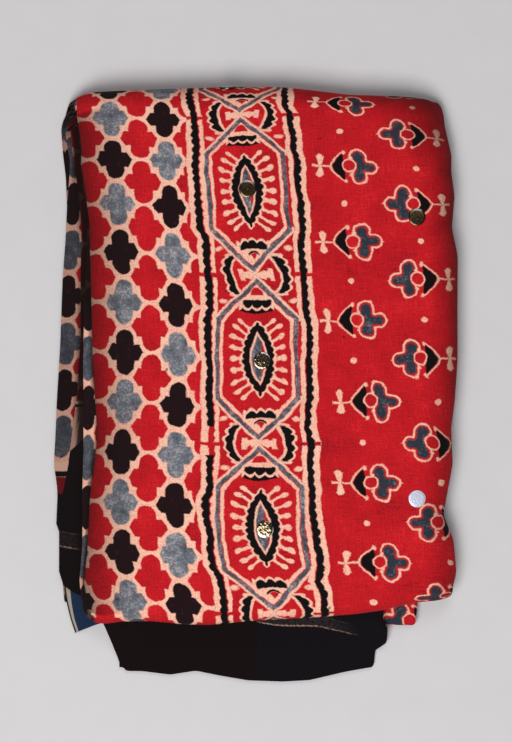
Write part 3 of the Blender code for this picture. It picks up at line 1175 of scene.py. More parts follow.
@dataclass(frozen=True, eq=False)
class Field:
    """A number at each place of the cloth, worked out by math nodes."""

    tree: bpy.types.NodeTree
    socket: bpy.types.NodeSocket

    def math(self, operation: str, *others: Number, clamp: bool = False) -> "Field":
        """Works out one math node.

        Args:
            operation: The node's operation.
            *others: Its second and third values.
            clamp: Whether the result is held between 0 and 1.

        Returns:
            The result.
        """
        links: dict[Union[int, str], object] = {0: self.socket}
        for place, other in enumerate(others, 1):
            links[place] = other.socket if isinstance(other, Field) else float(other)
        node = add_node(self.tree, "Math", links, operation=operation, use_clamp=clamp)
        return Field(self.tree, node.outputs[0])

    def __add__(self, other: Number) -> "Field":
        """The sum."""
        return self.math("ADD", other)

    def __radd__(self, other: float) -> "Field":
        """The sum."""
        return self.math("ADD", other)

    def __sub__(self, other: Number) -> "Field":
        """The difference."""
        return self.math("SUBTRACT", other)

    def __rsub__(self, other: float) -> "Field":
        """The difference from a plain number."""
        return self.math("MULTIPLY_ADD", -1.0, other)

    def __mul__(self, other: Number) -> "Field":
        """The product."""
        return self.math("MULTIPLY", other)

    def __rmul__(self, other: float) -> "Field":
        """The product."""
        return self.math("MULTIPLY", other)

    def __neg__(self) -> "Field":
        """The opposite."""
        return self.math("MULTIPLY", -1.0)

    def __abs__(self) -> "Field":
        """The size without its sign."""
        return self.math("ABSOLUTE")

    def least(self, other: Number) -> "Field":
        """The smaller: on distances, the two shapes together."""
        return self.math("MINIMUM", other)

    def most(self, other: Number) -> "Field":
        """The larger: on distances, what the two shapes share."""
        return self.math("MAXIMUM", other)

    def times_plus(self, factor: Number, more: Number) -> "Field":
        """This times a factor, plus more."""
        return self.math("MULTIPLY_ADD", factor, more)

    def far(self, other: "Field") -> "Field":
        """The root of the sum of the two squares."""
        return self.math("MULTIPLY_ADD", self, other * other).math("SQRT")

    def repeat(self, middle: float, period: float) -> "Field":
        """Distance past the middle of its own repeat, from minus half a period to half of one."""
        return (self - middle).math("WRAP", period / 2, -period / 2)

    def fold(self, middle: float, period: float) -> "Field":
        """The same, without its sign."""
        return (self - middle).math("PINGPONG", period / 2)

    def line(self, middle: Number, half: Number) -> "Field":
        """Distance from a line of that half width."""
        return abs(self - middle) - half

    def above(self, limit: Number) -> "Field":
        """1 where it is above the limit, and 0 elsewhere."""
        return self.math("GREATER_THAN", limit)

    def ink(self, softness: float) -> "Field":
        """Turns a distance into a cover, from 1 inside to 0 outside."""
        return self.math("MULTIPLY_ADD", -1 / softness, 0.5, clamp=True)

    def path(self, points: tuple[Point, ...]) -> "Field":
        """Reads a line through points: the sum of what each stretch between two of them adds.

        Args:
            points: Places on this field's scale and the value at each, in order.

        Returns:
            The value, which stays as it is beyond both ends.
        """
        read = self * 0.0 + points[0].y
        for last, entry in zip(points, points[1:]):
            run = 1 / (entry.x - last.x)
            share = self.math("MULTIPLY_ADD", run, -last.x * run, clamp=True)
            read = share.times_plus(entry.y - last.y, read)
        return read

    def steps(self, starts: tuple[Point, ...], blend: float) -> "Field":
        """Reads a value that changes from block to block, each change as a short slope.

        Args:
            starts: Where each block starts, and its value.
            blend: Half the length of each slope.

        Returns:
            The value.
        """
        points = [starts[0]]
        for last, entry in zip(starts, starts[1:]):
            points += [Point(entry.x - blend, last.y), Point(entry.x + blend, entry.y)]
        return self.path(tuple(points))

    def scallops(self, period: float, depth: float) -> "Field":
        """Half circles in a row: the depth times the size of a sine with that period."""
        return abs((self * (np.pi / period)).math("SINE")) * depth


@dataclass(frozen=True, eq=False)
class Paint:
    """A colour at each place of the cloth."""

    tree: bpy.types.NodeTree
    colour: object

    def under(self, cover: Field, over: "Paint", blend: str = "MIX") -> "Paint":
        """Lays another colour over this one.

        Args:
            cover: How much of it, from 0 to 1.
            over: The other colour.
            blend: How the two meet.

        Returns:
            The colour seen.
        """
        links = {0: cover.socket, 6: self.colour, 7: over.colour}
        node = add_node(self.tree, "Mix", links, data_type="RGBA", blend_type=blend)
        return Paint(self.tree, node.outputs[2])


@dataclass(frozen=True, eq=False)
class ClothMeasure:
    """The cloth's own coordinates in millimetres, with the small slips of hand block printing."""

    tree: bpy.types.NodeTree
    u: Field  # across, from near the first selvage
    v: Field  # along

    def noise(self, size: float, detail: float = 2.0, stretch: float = 1.0) -> bpy.types.Node:
        """Adds noise over the cloth.

        Args:
            size: Its coarsest grain, in millimetres.
            detail: How many finer grains it holds.
            stretch: How much longer it is along than across.

        Returns:
            The noise node.
        """
        across, along = self.u * (1 / size), self.v * (1 / (size * stretch))
        place = add_node(self.tree, "CombineXYZ", {0: across.socket, 1: along.socket}).outputs[0]
        links = {"Vector": place, "Scale": 1.0, "Detail": detail, "Roughness": 0.6}
        return add_node(self.tree, "TexNoise", links, noise_dimensions="2D")

    def grain(self, size: float, detail: float = 2.0, stretch: float = 1.0) -> Field:
        """The same noise as a number near zero."""
        return Field(self.tree, self.noise(size, detail, stretch).outputs[0]) - 0.5

    def slipped(self, size: float, reach: float) -> "ClothMeasure":
        """Moves both coordinates a little, by noise of one size.

        Args:
            size: The noise's grain, in millimetres.
            reach: How far it moves them where it is strongest.

        Returns:
            The coordinates, moved.
        """
        node = self.noise(size, 1.0)
        split = add_node(self.tree, "SeparateColor", {0: node.outputs[1]})
        moves = (Field(self.tree, split.outputs[place]) - 0.5 for place in (0, 1))
        moved = (move.times_plus(reach, place) for move, place in zip(moves, (self.u, self.v)))
        return ClothMeasure(self.tree, *moved)

    def paint(self, code: str) -> Paint:
        """One plain colour."""
        return Paint(self.tree, linear(code))


def cloth_measure(tree: bpy.types.NodeTree) -> ClothMeasure:
    """Reads the cloth's flat coordinates.

    Args:
        tree: The node tree.

    Returns:
        The coordinates as they are in the mesh's map.
    """
    read = add_node(tree, "UVMap", {}, uv_map="Cloth")
    split = add_node(tree, "SeparateXYZ", {0: read.outputs[0]})
    return ClothMeasure(tree, *(Field(tree, split.outputs[place]) * (1 / MM) for place in (0, 1)))


# ---- The print ----


@dataclass(frozen=True)
class Inks:
    """How far each place is from each ink: below zero inside it, and None where there is none.

    The numbers in the prints' methods are places and sizes on a motif in millimetres from its
    middle.
    """

    peach: Field  # the undyed ground that the resist kept
    black: Field
    grey: Optional[Field] = None  # indigo over the resist's worn edge
    red: Optional[Field] = None  # red put back inside what the others cover

    def within(self, bound: Field) -> "Inks":
        """Cuts them off where the bound is above zero."""
        inks = (self.peach, self.black, self.grey, self.red)
        return Inks(*(ink if ink is None else ink.most(bound) for ink in inks))

    def beside(self, other: "Inks") -> "Inks":
        """Puts another print's inks together with these.

        Args:
            other: Those.

        Returns:
            For each ink the smaller distance, or the only one.
        """
        grey = self.grey.least(other.grey) if self.grey and other.grey else self.grey or other.grey
        red = self.red.least(other.red) if self.red and other.red else self.red or other.red
        return Inks(self.peach.least(other.peach), self.black.least(other.black), grey, red)


@dataclass(frozen=True)
class LatticePrint:
    """Rows of four-lobed shapes in a peach web: every other row red, the rest black or grey."""

    middle: Point = Point(-75.9, 4.2)
    period: Point = Point(38.9, 36.8)
    slant: float = 0.045  # how much lower each row lies for each millimetre to the right
    bow: float = 0.0009  # and for the square of its distance from where the rows lie highest
    bow_from: float = -83.0
    lobe: float = 6.5
    reach: float = 10.1
    arm: float = 13.1
    slope: float = 0.55
    shoulder: float = 6.2
    more_red: float = 0.5
    away: float = 40.0  # added where a shape is in the other ink

    def shape(self, across: Field, along: Field) -> Field:
        """Draws one shape: an upright round-ended bar together with a clipped diamond.

        Args:
            across: Across from its middle, without its sign.
            along: Along, likewise.

        Returns:
            Distance from it.
        """
        bar = across.far((along - self.reach).most(0.0)) - self.lobe
        diamond = (along.times_plus(self.slope, across) - self.arm) * 0.876
        return diamond.most(along - self.shoulder).least(bar)

    def draw(self, u: Field, v: Field) -> Inks:
        """Draws the lattice.

        Args:
            u: Across the cloth.
            v: Along it.

        Returns:
            Its inks.
        """
        off = u - self.bow_from
        v = (off * off).times_plus(self.bow, off.times_plus(self.slant, v))
        half_u, half_v = self.period.x / 2, self.period.y / 2
        black_row = (u - self.middle.x) * (1 / self.period.x)
        turn = black_row.math("FLOOR") + ((v - self.middle.y) * (1 / self.period.y)).math("FLOOR")
        odd = (turn * 0.5).math("FRACT").above(0.25)
        dark = self.shape(
            u.fold(self.middle.x + half_u, self.period.x),
            v.fold(self.middle.y + half_v, self.period.y),
        )
        black = odd.times_plus(-self.away, dark + self.away)
        grey = odd.times_plus(self.away, dark)
        between = u.fold(self.middle.x, self.period.x), v.fold(self.middle.y, self.period.y)
        red = self.shape(*between) - self.more_red
        return Inks(-red, black, grey)


class BandSlip(NamedTuple):
    """How far one block set the border's bands to the right, from one place along the cloth."""

    v: float
    left: float
    right: float


BAND_SLIPS = rows_of(
    BandSlip,
    (-2000, 8.4, 1.2), (-150, 7.2, -2), (-138, 2, 0.2), (-122, 1.8, -1.8), (-104, -0.2, -3.6),
    (-81, 2.6, -3.3), (-38, 2.2, -4.4), (-16, 1.2, -2.4), (18, 1.2, 0.2), (50, 4, -0.9),
    (111, 0.4, 0.9), (138, 0.2, -0.2), (170, 1.4, -1.4), (190, 2.2, -2.6), (210, 0, -5.6),
)
# How far the medallions stand to the right, along the cloth: every block was set by eye
MEDALLION_SLIPS = rows_of(
    Point,
    (-166, 8), (-137, 2.6), (-108, 0), (-52, 0.6), (-44, -0.7), (17, -0.4), (50, 1.6), (75, 4.3),
    (84, 1.6), (142, 1.1), (196, 0),
)
# How much further up they stand
MEDALLION_RISES = rows_of(
    Point,
    (-160, 0.5), (-130, 1.2), (-105, 2.3), (-70, 2.6), (-46, 1.6), (-28, 0.2), (40, 0.6), (65, 0),
)
# How far each sprig was set to the right, from half-way below it
SPRIG_SLIPS = rows_of(
    Point,
    (-175, 1.4), (-145, 1.6), (-116, 0), (-86.8, -1.3), (-57.5, 0.3), (-28.2, 2.8), (1.1, -1.6),
    (30.4, -3), (59.8, 0), (89, -1.9), (118.4, -0.2), (147.7, -0.7),
)


@dataclass(frozen=True)
class BorderPrint:
    """The border: tall medallions between upright bands, with brackets where they meet."""

    middle: Point = Point(1.85, 17.0)
    period: float = 125.0
    left: float = -41.5
    right: float = 48.0
    half: float = 29.3  # half the medallion's width
    peak: float = 58.2  # where its slanting sides would meet
    eye_half: Point = Point(10.7, 26.0)
    rays: int = 4  # on each side of the middle one
    ray_step: float = 4.7
    fan: float = 0.0425  # how fast the rays spread
    ray_end: Point = Point(21.0, 43.5)
    blend: float = 4.0  # half the length over which one block's slip turns into the next one's

    def hexagon(self, ax: Field, ay: Field) -> Field:
        """Distance from the medallion's outline."""
        return ((ax + ay - self.peak) * 0.7071).most(ax - self.half)

    def eye_rays(self, ax: Field, y: Field, ay: Field) -> tuple[Field, Field, Field]:
        """Draws the eye and the rays round it.

        The eye's half width falls with the square of the height. Each ray is a thin neck with a
        round head, along lines that spread from a point beyond the eye.

        Args:
            ax: Across, from the eye's middle, without its sign.
            y: Along, from there.
            ay: The same without its sign.

        Returns:
            Distances from the eye without its small scallops, from its black rim and from the
            rays.
        """
        high = ay * (1 / self.eye_half.y)
        eye = (high * high).times_plus(self.eye_half.x, ax) * 0.84 - self.eye_half.x * 0.84
        scalloped = eye - y.scallops(4.9, 1.1)
        spread = ax.times_plus(self.fan, 1.0) * self.ray_step
        number = ay.math("DIVIDE", spread).math("ROUND").least(float(self.rays))
        off = abs(ay - number * spread)
        deep = -(ax - self.ray_end.x).most((ax + ay - self.ray_end.y) * 0.7071)
        head = off.far((deep - 2.7) * 0.85) - 2.15
        neck = (off - 1.1).most(2.6 - deep)
        rays = head.math("SMOOTH_MIN", neck, 1.2)
        rays = rays.math("SMOOTH_MIN", scalloped - 1.4, 2.2)
        return eye, scalloped.most(-3.8 - eye), rays.most(-0.2 - scalloped)

    def crowns(self, ax: Field, ay: Field, x: Field, low: Field, hexagon: Field) -> Inks:
        """Draws the small crowns at the medallion's two ends.

        Each crown is a bar with three lobes towards the eye and a peach rim round it. The back one
        has a black arc below and a red dome beyond; the front one has a small black arch over a
        red drop.

        Args:
            ax: Across, without its sign.
            ay: Along, without its sign.
            x: Across.
            low: 1 on the front end.
            hexagon: Distance from the medallion's outline.

        Returns:
            Their inks; the red ones are the dome and the drop beyond them.
        """
        # Below zero on one end alone, so that a form is cut off on the other
        on_front, on_back = low * -30.0 + 10.0, low * 30.0 - 10.0
        lobes = abs((x * (np.pi / 6.7)).math("COSINE")) * 2.3
        rise = ay - low * ax * ax * 0.010 + low * 1.0
        lower = lobes * -1.0 + 40.3
        crown = (lower - rise).most(rise - 44.0).math("SMOOTH_MAX", ax - 10.7, 2.0)
        arc = (ax * ax * 0.014 + 33.9 - rise).most(rise - lower + 2.0).most(ax - 12.0)
        arc = arc.most(on_back)
        dome = (ax.far((ay - 47.4) * 0.86) - 4.9).most(47.4 - ay).most(on_back)
        drop = (ax * 0.85 + (ay - 51.2) * 0.6).most(46.0 - ay).most(on_front)
        arch = (ay - ax * ax * 0.1 - 45.2).math("ABSOLUTE") - 0.9
        arch = arch.most(ax - 4.4).most(on_front)
        cap = (hexagon + 1.9).most(44.6 - rise)
        black = crown.least(arc).least(arch)
        return Inks((crown - 2.1).least(cap), black, red=dome.least(drop).most(-arch))

    def medallion(self, x: Field, y: Field, ax: Field, ay: Field) -> Inks:
        """Draws one medallion; its inner forms lean a little and stand a little to the right.

        Args:
            x: Across, from its middle.
            y: Along, from there.
            ax: x without its sign.
            ay: y without its sign.

        Returns:
            Its inks.
        """
        hexagon = self.hexagon(ax, ay)
        inner = y.times_plus(0.022, x) - 0.9
        inner_size = abs(inner)
        eye, rim, rays = self.eye_rays(inner_size, y, ay)
        low = y.math("LESS_THAN", 0.0)
        crowns = self.crowns(inner_size, ay, inner, low, hexagon)
        core = eye + 5.2
        red_core = core.most(1.9 - inner)
        peach = (
            hexagon.line(2.2, 1.1).most((x - 26.0).least(27.0 - ay))
            .least(hexagon.line(-3.2, 1.2))
            .least(eye.line(-4.5, 0.9))
            .least(rays)
            .least(crowns.peach)
            .most(hexagon - 3.3)
        )
        black = rim.least(crowns.black).most(hexagon - 3.0)
        grey = hexagon.line(0.0, 1.4).least(core)
        return Inks(peach=peach, black=black, grey=grey, red=crowns.red.least(red_core))

    def meeting(self, x: Field, ay: Field, y: Field) -> Inks:
        """Draws what lies between two medallions: spades, brackets and small leaves.

        Args:
            x: Across, from the medallions' middle.
            ay: Along, without its sign.
            y: Along, from there.

        Returns:
            Its inks.
        """
        ax = abs(x - 1.2)
        by = ay * -1.0 + self.period / 2
        spade = (by - ax * 0.33 - 1.3).most(by - 4.0).most(ax - 12.6)
        bite = ((ax - 7.6) * 0.9).far(by - 3.6) - 1.5
        ring = ax.far(by)
        wave = y.scallops(6.2, 1.9)
        bracket = (ring - wave - 22.9).most(18.9 - ring).math("SMOOTH_MAX", by - 14.0, 3.0)
        outline = bracket - 1.8
        leaf = ((ax - 26.0) * 0.42 + (by - 19.4) * 0.2).far((by - 19.4) * 0.72) - 1.3
        return Inks(spade.most(-bite).least(outline).least(leaf), bracket)

    def bands(
        self, x: Field, v: Field, y: Field, ay: Field, sway: Field, slips: tuple[Field, Field]
    ) -> Inks:
        """Draws the upright bands on both sides, broken where the medallions meet.

        Args:
            x: Across, from the border's middle.
            v: Along the cloth.
            y: Along, from the middle of a medallion.
            ay: The same without its sign.
            sway: A slow wave of the right-hand band.
            slips: How far each side's blocks slipped.

        Returns:
            Their inks.
        """
        left, right = x - slips[0], x - slips[1]
        gap = ay - 61.0
        bite = y.scallops(6.3, 1.2)
        other = (y + 2.0).scallops(6.3, 1.0)
        wide = (left + 38.0).most(-43.4 - left)
        thin = (left + 30.8).most(-33.2 - other - left)
        wide_right = (right - 46.3).most(39.0 - right)
        thin_right = (right - 37.2).most(33.9 - right - other * 0.4)
        peach = wide.least(thin).least(wide_right).least(thin_right).most(gap)
        black = (left + 34.2 + other * 0.5).most(-38.7 - bite - left)
        missed = 10.5 - abs(v + 42.0)
        black = black.most(missed)
        right_black = (right - 41.4 - sway - bite).most(37.2 + sway + other * 0.5 - right)
        return Inks(peach, black.least(right_black))

    def slips(self, v: Field) -> tuple[Field, Field]:
        """Reads how far each block's bands were set to the right.

        Args:
            v: Along the cloth.

        Returns:
            It for the left side and for the right.
        """
        left = tuple(Point(entry.v, entry.left) for entry in BAND_SLIPS)
        right = tuple(Point(entry.v, entry.right) for entry in BAND_SLIPS)
        return v.steps(left, self.blend), v.steps(right, self.blend)

    def draw(self, u: Field, v: Field, sway: Field, slips: tuple[Field, Field]) -> Inks:
        """Draws the border.

        Args:
            u: Across the cloth.
            v: Along it.
            sway: A slow wave of the right-hand band.
            slips: How far each side's blocks slipped.

        Returns:
            Its inks.
        """
        x = u - self.middle.x
        y = (v - v.path(MEDALLION_RISES)).repeat(self.middle.y, self.period)
        ay = abs(y)
        bands = self.bands(x, v, y, ay, sway, slips)
        x = x - v.path(MEDALLION_SLIPS)
        ax = abs(x)
        medallion = self.medallion(x, y, ax, ay)
        outside = 3.0 - self.hexagon(ax, ay)
        return bands.beside(medallion).beside(self.meeting(x, ay, y).within(outside))


@dataclass(frozen=True)
class SprigPrint:
    """The red field: sprigs in two columns that face each other, with dots between them."""

    middle: Point = Point(102.7, -13.5)
    period: Point = Point(108.0, 58.6)
    column: float = 22.0
    overlap: float = 4.0  # how far a sprig's head reaches past the middle between the columns

    def flower(self, x: Field, y: Field, ring: Field) -> Field:
        """Draws the three-lobed flower, its lobes run together.

        Args:
            x: Across, from the sprig's middle.
            y: Along, from there.
            ring: Distance from there.

        Returns:
            Distance from the flower.
        """
        upper = (x - 6.5).far((y - 7.3) * 0.92) - 3.9
        lower = (x - 7.4).far((y + 7.8) * 0.92) - 3.9
        head = (abs(x - 12.4) - 3.6).most(0.0).far(y + 0.6) - 2.9
        body = ((x - 8.6) * 1.2).far((y + 0.6) * 0.6) - 3.6
        joined = head.math("SMOOTH_MIN", body, 1.6)
        joined = joined.math("SMOOTH_MIN", upper, 2.0).math("SMOOTH_MIN", lower, 2.0)
        return joined.most(5.4 - ring)

    def draw(self, u: Field, v: Field) -> Inks:
        """Draws the sprigs, each in its own measure with its head to the right.

        Args:
            u: Across the cloth.
            v: Along it.

        Returns:
            Their inks.
        """
        w = (u - v.steps(SPRIG_SLIPS, 2.5)).repeat(self.middle.x, self.period.x)
        rows = (v - self.middle.y) * (2 * np.pi / self.period.y)
        right = rows.math("COSINE").times_plus(-self.overlap, w).above(0.0)
        x = (right * -2.0 + 1.0).times_plus(w, self.column)
        y = (right.times_plus(self.period.y / 2, v)).repeat(self.middle.y, self.period.y)
        low = y + 0.6
        ay = abs(low)
        ring = x.far(y)
        flower = self.flower(x, y, ring)
        point = (abs(x - 12.8) * 0.6 + ay - 2.8) * 0.85
        outline = flower.least(point).line(1.9, 0.65).most(4.6 - ring)
        bow = x + 14.3 - (ay * (1 / 12.0)).math("POWER", 1.45) * 10.8
        cup = ((1.3 - bow) * 0.75).most(x + 3.6).most(5.4 - ring).most(ay - 10.2)
        frame_line = (abs(bow) * 0.72 - 0.55).most(ay - 12.6)
        tips = ((x + 3.2) * 0.8).far((ay - 11.3) * 0.7) - 1.05
        stem = (abs(x + 17.6) - 3.6).most(ay - 0.55)
        club = (abs(x + 22.2) - ay * 0.3 - 0.8).most(ay - 7.0)
        knob = (x + 22.2).far((ay - 5.6) * 0.8) - 2.4
        stub = (abs(x + 25.4) - 2.6).most(ay - 0.8)
        loop = ring.line(4.9, 0.55)
        dots = (x + 5.6).far(ay - self.period.y / 2) - 2.3
        link = ((x - 1.2) * 0.8).far(ay - 6.6) - 1.1
        peach = loop.least(outline).least(frame_line).least(tips).least(stem)
        peach = peach.least(club.least(knob)).least(stub).least(dots).least(link)
        return Inks(peach, cup, flower)


@dataclass(frozen=True)
class PrintedCotton:
    """Hand-printed cotton, as ajrakh is: matt, a little soft, with thread showing in the dye.

    Madder red is even and warm; indigo over the resist comes out mottled grey; the iron black is
    dense; what the resist kept is a warm peach, and none of the edges is quite sharp. The numbers
    in its methods are millimetres on the cloth and shares of its colours.
    """

    madder: str = "AB121B"
    madder_deep: str = "820D16"
    madder_bright: str = "C92027"
    undyed: str = "E2B29C"
    undyed_warm: str = "CE8B79"
    iron_black: str = "0C080A"
    block_black: str = "190B0F"
    black_warm: str = "48141B"
    indigo_grey: str = "5A6068"
    indigo_deep: str = "282E38"
    indigo_pale: str = "9E9B9F"
    end_peach_shaded: str = "B88E7E"  # undyed peach painted darker: painted shade on the band
    end_grey: str = "30272A"
    end_red: str = "6E1016"
    stripe_blue: str = "1E4A78"
    stripe_cream: str = "EFE3CF"
    crevice: str = "0E0606"  # painted shade where the cloth lies deep between its folds
    end_black: str = "0B090C"
    roughness: float = 0.84
    sheen: float = 0.012
    softness: float = 0.75  # how wide a printed edge is, in millimetres
    thread: float = 1.3  # the real threads are 0.4 mm apart, too fine to show, so drawn coarser
    weave_height: float = 0.05  # in millimetres
    second_shift: Point = Point(139.5, 4.1)  # of the print where it runs back from its second half
    wander: tuple[Point, ...] = (Point(17.0, 3.0), Point(4.5, 1.2))  # grain and reach of its slips
    print_stop: float = 11.5  # where the print stops, before the plain end's own line
    end_line: Point = Point(15.2, 1.2)  # where its thin line lies, and half how wide
    end_band: float = 17.5  # where its peach band starts
    end_red_band: float = 23.0  # and the red one of the second half
    second_end: float = 47.5  # how much further out all that lies on the second half
    band_line: float = 172.8  # where the two faint lines lie, in the black
    striped_run: float = 45.0  # how long the blue end is
    cream_stripe: Point = Point(3.0, 1.9)  # where its stripes lie, and half how wide

    def make(self, striped_v: float) -> bpy.types.Material:
        """Builds the material.

        Args:
            striped_v: The print's length measure at the striped end's cut.

        Returns:
            The material.
        """
        material = bpy.data.materials.new("hand_printed_cotton")
        tree = new_tree(material)
        cloth = cloth_measure(tree)
        colour = self.colour(cloth, striped_v)
        links = {"Strength": 1.0, "Distance": MM, "Height": self.weave(cloth).socket}
        bump = add_node(tree, "Bump", links)
        links = {
            "Base Color": colour.colour, "Roughness": self.roughness, "Specular IOR Level": 0.08,
            "Sheen Weight": self.sheen, "Sheen Roughness": 0.45, "Sheen Tint": linear("FFE6DC"),
            "Normal": bump.outputs[0],
        }
        shader = add_node(tree, "BsdfPrincipled", links)
        add_node(tree, "OutputMaterial", {0: shader.outputs[0]})
        return material

    def weave(self, cloth: ClothMeasure) -> Field:
        """Works out the weave: two crossed rows of threads, a sine each, and slight unevenness.

        Args:
            cloth: The cloth's coordinates.

        Returns:
            Its height in millimetres.
        """
        over = (cloth.u * (2 * np.pi / self.thread)).math("SINE")
        under = (cloth.v * (2 * np.pi / self.thread)).math("SINE")
        slub = cloth.grain(2.2, 3.0)
        return (over * under).times_plus(self.weave_height, slub * 0.35)

    def colour(self, cloth: ClothMeasure, striped_v: float) -> Paint:
        """Works out the printed colour from the ground up, then lays the painted shade over it.

        Args:
            cloth: The cloth's coordinates.
            striped_v: The print's length measure at the striped end's cut.

        Returns:
            The colour.
        """
        u = cloth.u
        turned = ClothMeasure(cloth.tree, cloth.v, u)
        second = u.above((SECOND_SELVAGE_U + SELVAGE_U) / 2)
        slip_u = second.times_plus(u * -2.0 + (SECOND_SELVAGE_U - self.second_shift.x), u)
        slip_v = second.times_plus(self.second_shift.y, cloth.v)
        slip = ClothMeasure(cloth.tree, slip_u, slip_v)
        for size, reach in self.wander:
            slip = slip.slipped(size, reach)
        rough = cloth.grain(1.1, 2.0) * 1.1
        inks = self.printed(slip)

        streak = cloth.grain(0.8, 2.0, 16.0) + turned.grain(0.8, 2.0, 16.0)
        cloud = cloth.grain(34.0, 3.0)
        fleck = cloth.grain(1.3, 3.0)
        red_mix = (streak * 0.9 + cloud * 1.2 + fleck * 1.3).math("ADD", 0.5, clamp=True)
        red = cloth.paint(self.madder_deep).under(red_mix, cloth.paint(self.madder_bright))
        even = (abs(red_mix - 0.5) * 1.7).math("ADD", 0.12, clamp=True)
        red = cloth.paint(self.madder).under(even, red)
        peach_mix = (streak * 1.2 + fleck * 3.0 + cloud * 0.8).math("ADD", 0.3, clamp=True)
        pale = cloth.paint(self.undyed).under(peach_mix, cloth.paint(self.undyed_warm))
        painted = red.under((inks.peach + rough).ink(self.softness), pale)
        painted = painted.under(
            (inks.grey + rough * 0.8).ink(self.softness * 1.4),
            self.indigo(cloth, fleck, slip.u, second),
        )
        lattice = slip.u.math("LESS_THAN", BorderPrint.left)
        bloom = (cloth.grain(6.0, 3.0) * 3.0 - 0.35).math("ADD", 0.0, clamp=True)
        dark = cloth.paint(self.iron_black).under(lattice, cloth.paint(self.block_black))
        dark = dark.under(bloom * lattice, cloth.paint(self.black_warm))
        painted = painted.under((inks.black + rough * 0.8).ink(self.softness), dark)
        painted = painted.under((inks.red + rough * 0.5).ink(self.softness), red)
        painted = self.plain_end(cloth, painted, second, rough)
        painted = self.striped_end(cloth, painted, striped_v, rough)
        speck = (cloth.grain(7.0, 1.0) * 14.0).math("SUBTRACT", 4.3, clamp=True)
        painted = painted.under(speck * 0.7, cloth.paint(self.iron_black))
        # Painted shade: the deep colour laid over the print where the folds lie deep or roll under
        held = add_node(cloth.tree, "Attribute", {}, attribute_name="crevice")
        return painted.under(Field(cloth.tree, held.outputs["Fac"]), cloth.paint(self.crevice))

    def printed(self, cloth: ClothMeasure) -> Inks:
        """Puts the three prints side by side.

        Args:
            cloth: The cloth's coordinates.

        Returns:
            Their inks.
        """
        u, v = cloth.u, cloth.v
        slow = ClothMeasure(cloth.tree, u * 0.02, v)
        slips = BorderPrint().slips(v)
        in_lattice = u - slips[0] - BorderPrint.left
        in_sprigs = slips[1] - u + BorderPrint.right
        in_border = (-in_lattice).most(-in_sprigs)
        sway = slow.grain(26.0, 1.0) * 3.0
        lattice = LatticePrint().draw(u, v).within(in_lattice)
        border = BorderPrint().draw(u, v, sway, slips).within(in_border)
        return lattice.beside(border).beside(SprigPrint().draw(u, v).within(in_sprigs))

    def indigo(self, cloth: ClothMeasure, fleck: Field, slip_u: Field, second: Field) -> Paint:
        """Mixes the mottled indigo: greyer in the lattice, nearly full in the field's flowers.

        Args:
            cloth: The cloth's coordinates.
            fleck: Fine noise shared with the other inks.
            slip_u: u as the blocks lie.
            second: 1 on the second half of the width.

        Returns:
            The indigo.
        """
        cloud = cloth.grain(9.0, 3.0)
        fine = cloth.grain(1.9, 3.0)
        mix = (fine * 2.0 + cloud * 2.0 + 0.12).math("ADD", fleck * 1.2, clamp=True)
        worn = cloth.paint(self.indigo_grey).under(mix, cloth.paint(self.indigo_pale))
        deep = (cloud * -3.0 - 0.22).math("ADD", fleck * 1.6, clamp=True)
        worn = worn.under(deep, cloth.paint(self.indigo_deep))
        rose = (cloth.grain(2.4, 3.0) * 5.0).math("SUBTRACT", 0.52, clamp=True) * 0.6
        worn = worn.under(rose, cloth.paint(self.madder))
        past_lattice = slip_u.above(BorderPrint.left)
        full = slip_u.above(BorderPrint.right).times_plus(0.54, 0.50)
        held = (full - (cloud + fine) * 0.9).math("ADD", 0.0, clamp=True) * past_lattice
        return worn.under(held.most(second * 0.62), cloth.paint(self.indigo_deep))

    def plain_end(
        self, cloth: ClothMeasure, painted: Paint, second: Field, rough: Field
    ) -> Paint:
        """Draws the plain end's bands over the print.

        On the first half of the width the print stops at a thin black line, then comes a plain
        peach band, painted darker as shade, with a slanting edge, then black with two faint lines.
        The second half stops further out, with a dark red band after its line.

        Args:
            cloth: The cloth's coordinates.
            painted: The colour below them.
            second: 1 on the second half of the width.
            rough: How ragged printed edges are.

        Returns:
            The colour with them.
        """
        u = cloth.u
        end = cloth.v - END_V
        along = second.times_plus(self.second_end, end)
        pale = cloth.paint(self.undyed)
        # Painted shade: the peach band gets a darker copy of the undyed colour
        shaded = cloth.paint(self.end_peach_shaded)
        black = cloth.paint(self.end_black)
        painted = painted.under((along + self.print_stop + rough).ink(self.softness), pale)
        line = abs(along + self.end_line.x + second * 5.5) - self.end_line.y - second * 0.9
        beyond = (along + self.end_band).most(second * 60.0 - 30.0)
        painted = painted.under((beyond + rough).ink(self.softness), shaded)
        painted = painted.under((line + rough).ink(self.softness), black)
        red_band = (along + self.end_red_band).most(second * -60.0 + 30.0)
        red = cloth.paint(self.end_red)
        painted = painted.under((red_band + rough).ink(self.softness), red)
        slope = (u - SELVAGE_U).least(38.0) - 51.0
        edge = second.times_plus(-22.5, slope.least(-13.0))
        painted = painted.under((along - edge + rough).ink(self.softness), black)
        bend = ((u * -1.0 - 84.0) * (1 / 14.0)).math("ADD", 0.0, clamp=True)
        dip = ((u - 44.0) * (1 / 20.0)).math("ADD", 0.0, clamp=True)
        wave = (u * (2 * np.pi / 62.0)).math("SINE") * 1.1
        band = u.times_plus(0.12, end) + self.band_line - bend * 42.0 + wave + dip * 4.5
        fade = (u * -1.0 + 70.0).math("MULTIPLY", 1 / 18.0, clamp=True)
        worn = (cloth.grain(2.0, 3.0) * 3.0).math("ADD", 0.55, clamp=True) * fade
        lines = (abs(band) - 5.4).math("ABSOLUTE") - 0.5
        between = (abs(band) - 5.0).ink(2.0) * worn
        painted = painted.under(between * 0.8, cloth.paint(self.end_grey))
        drawn = (lines + rough * 1.2).ink(self.softness) * worn
        return painted.under(drawn * band.above(0.0).times_plus(-0.45, 0.55), pale)

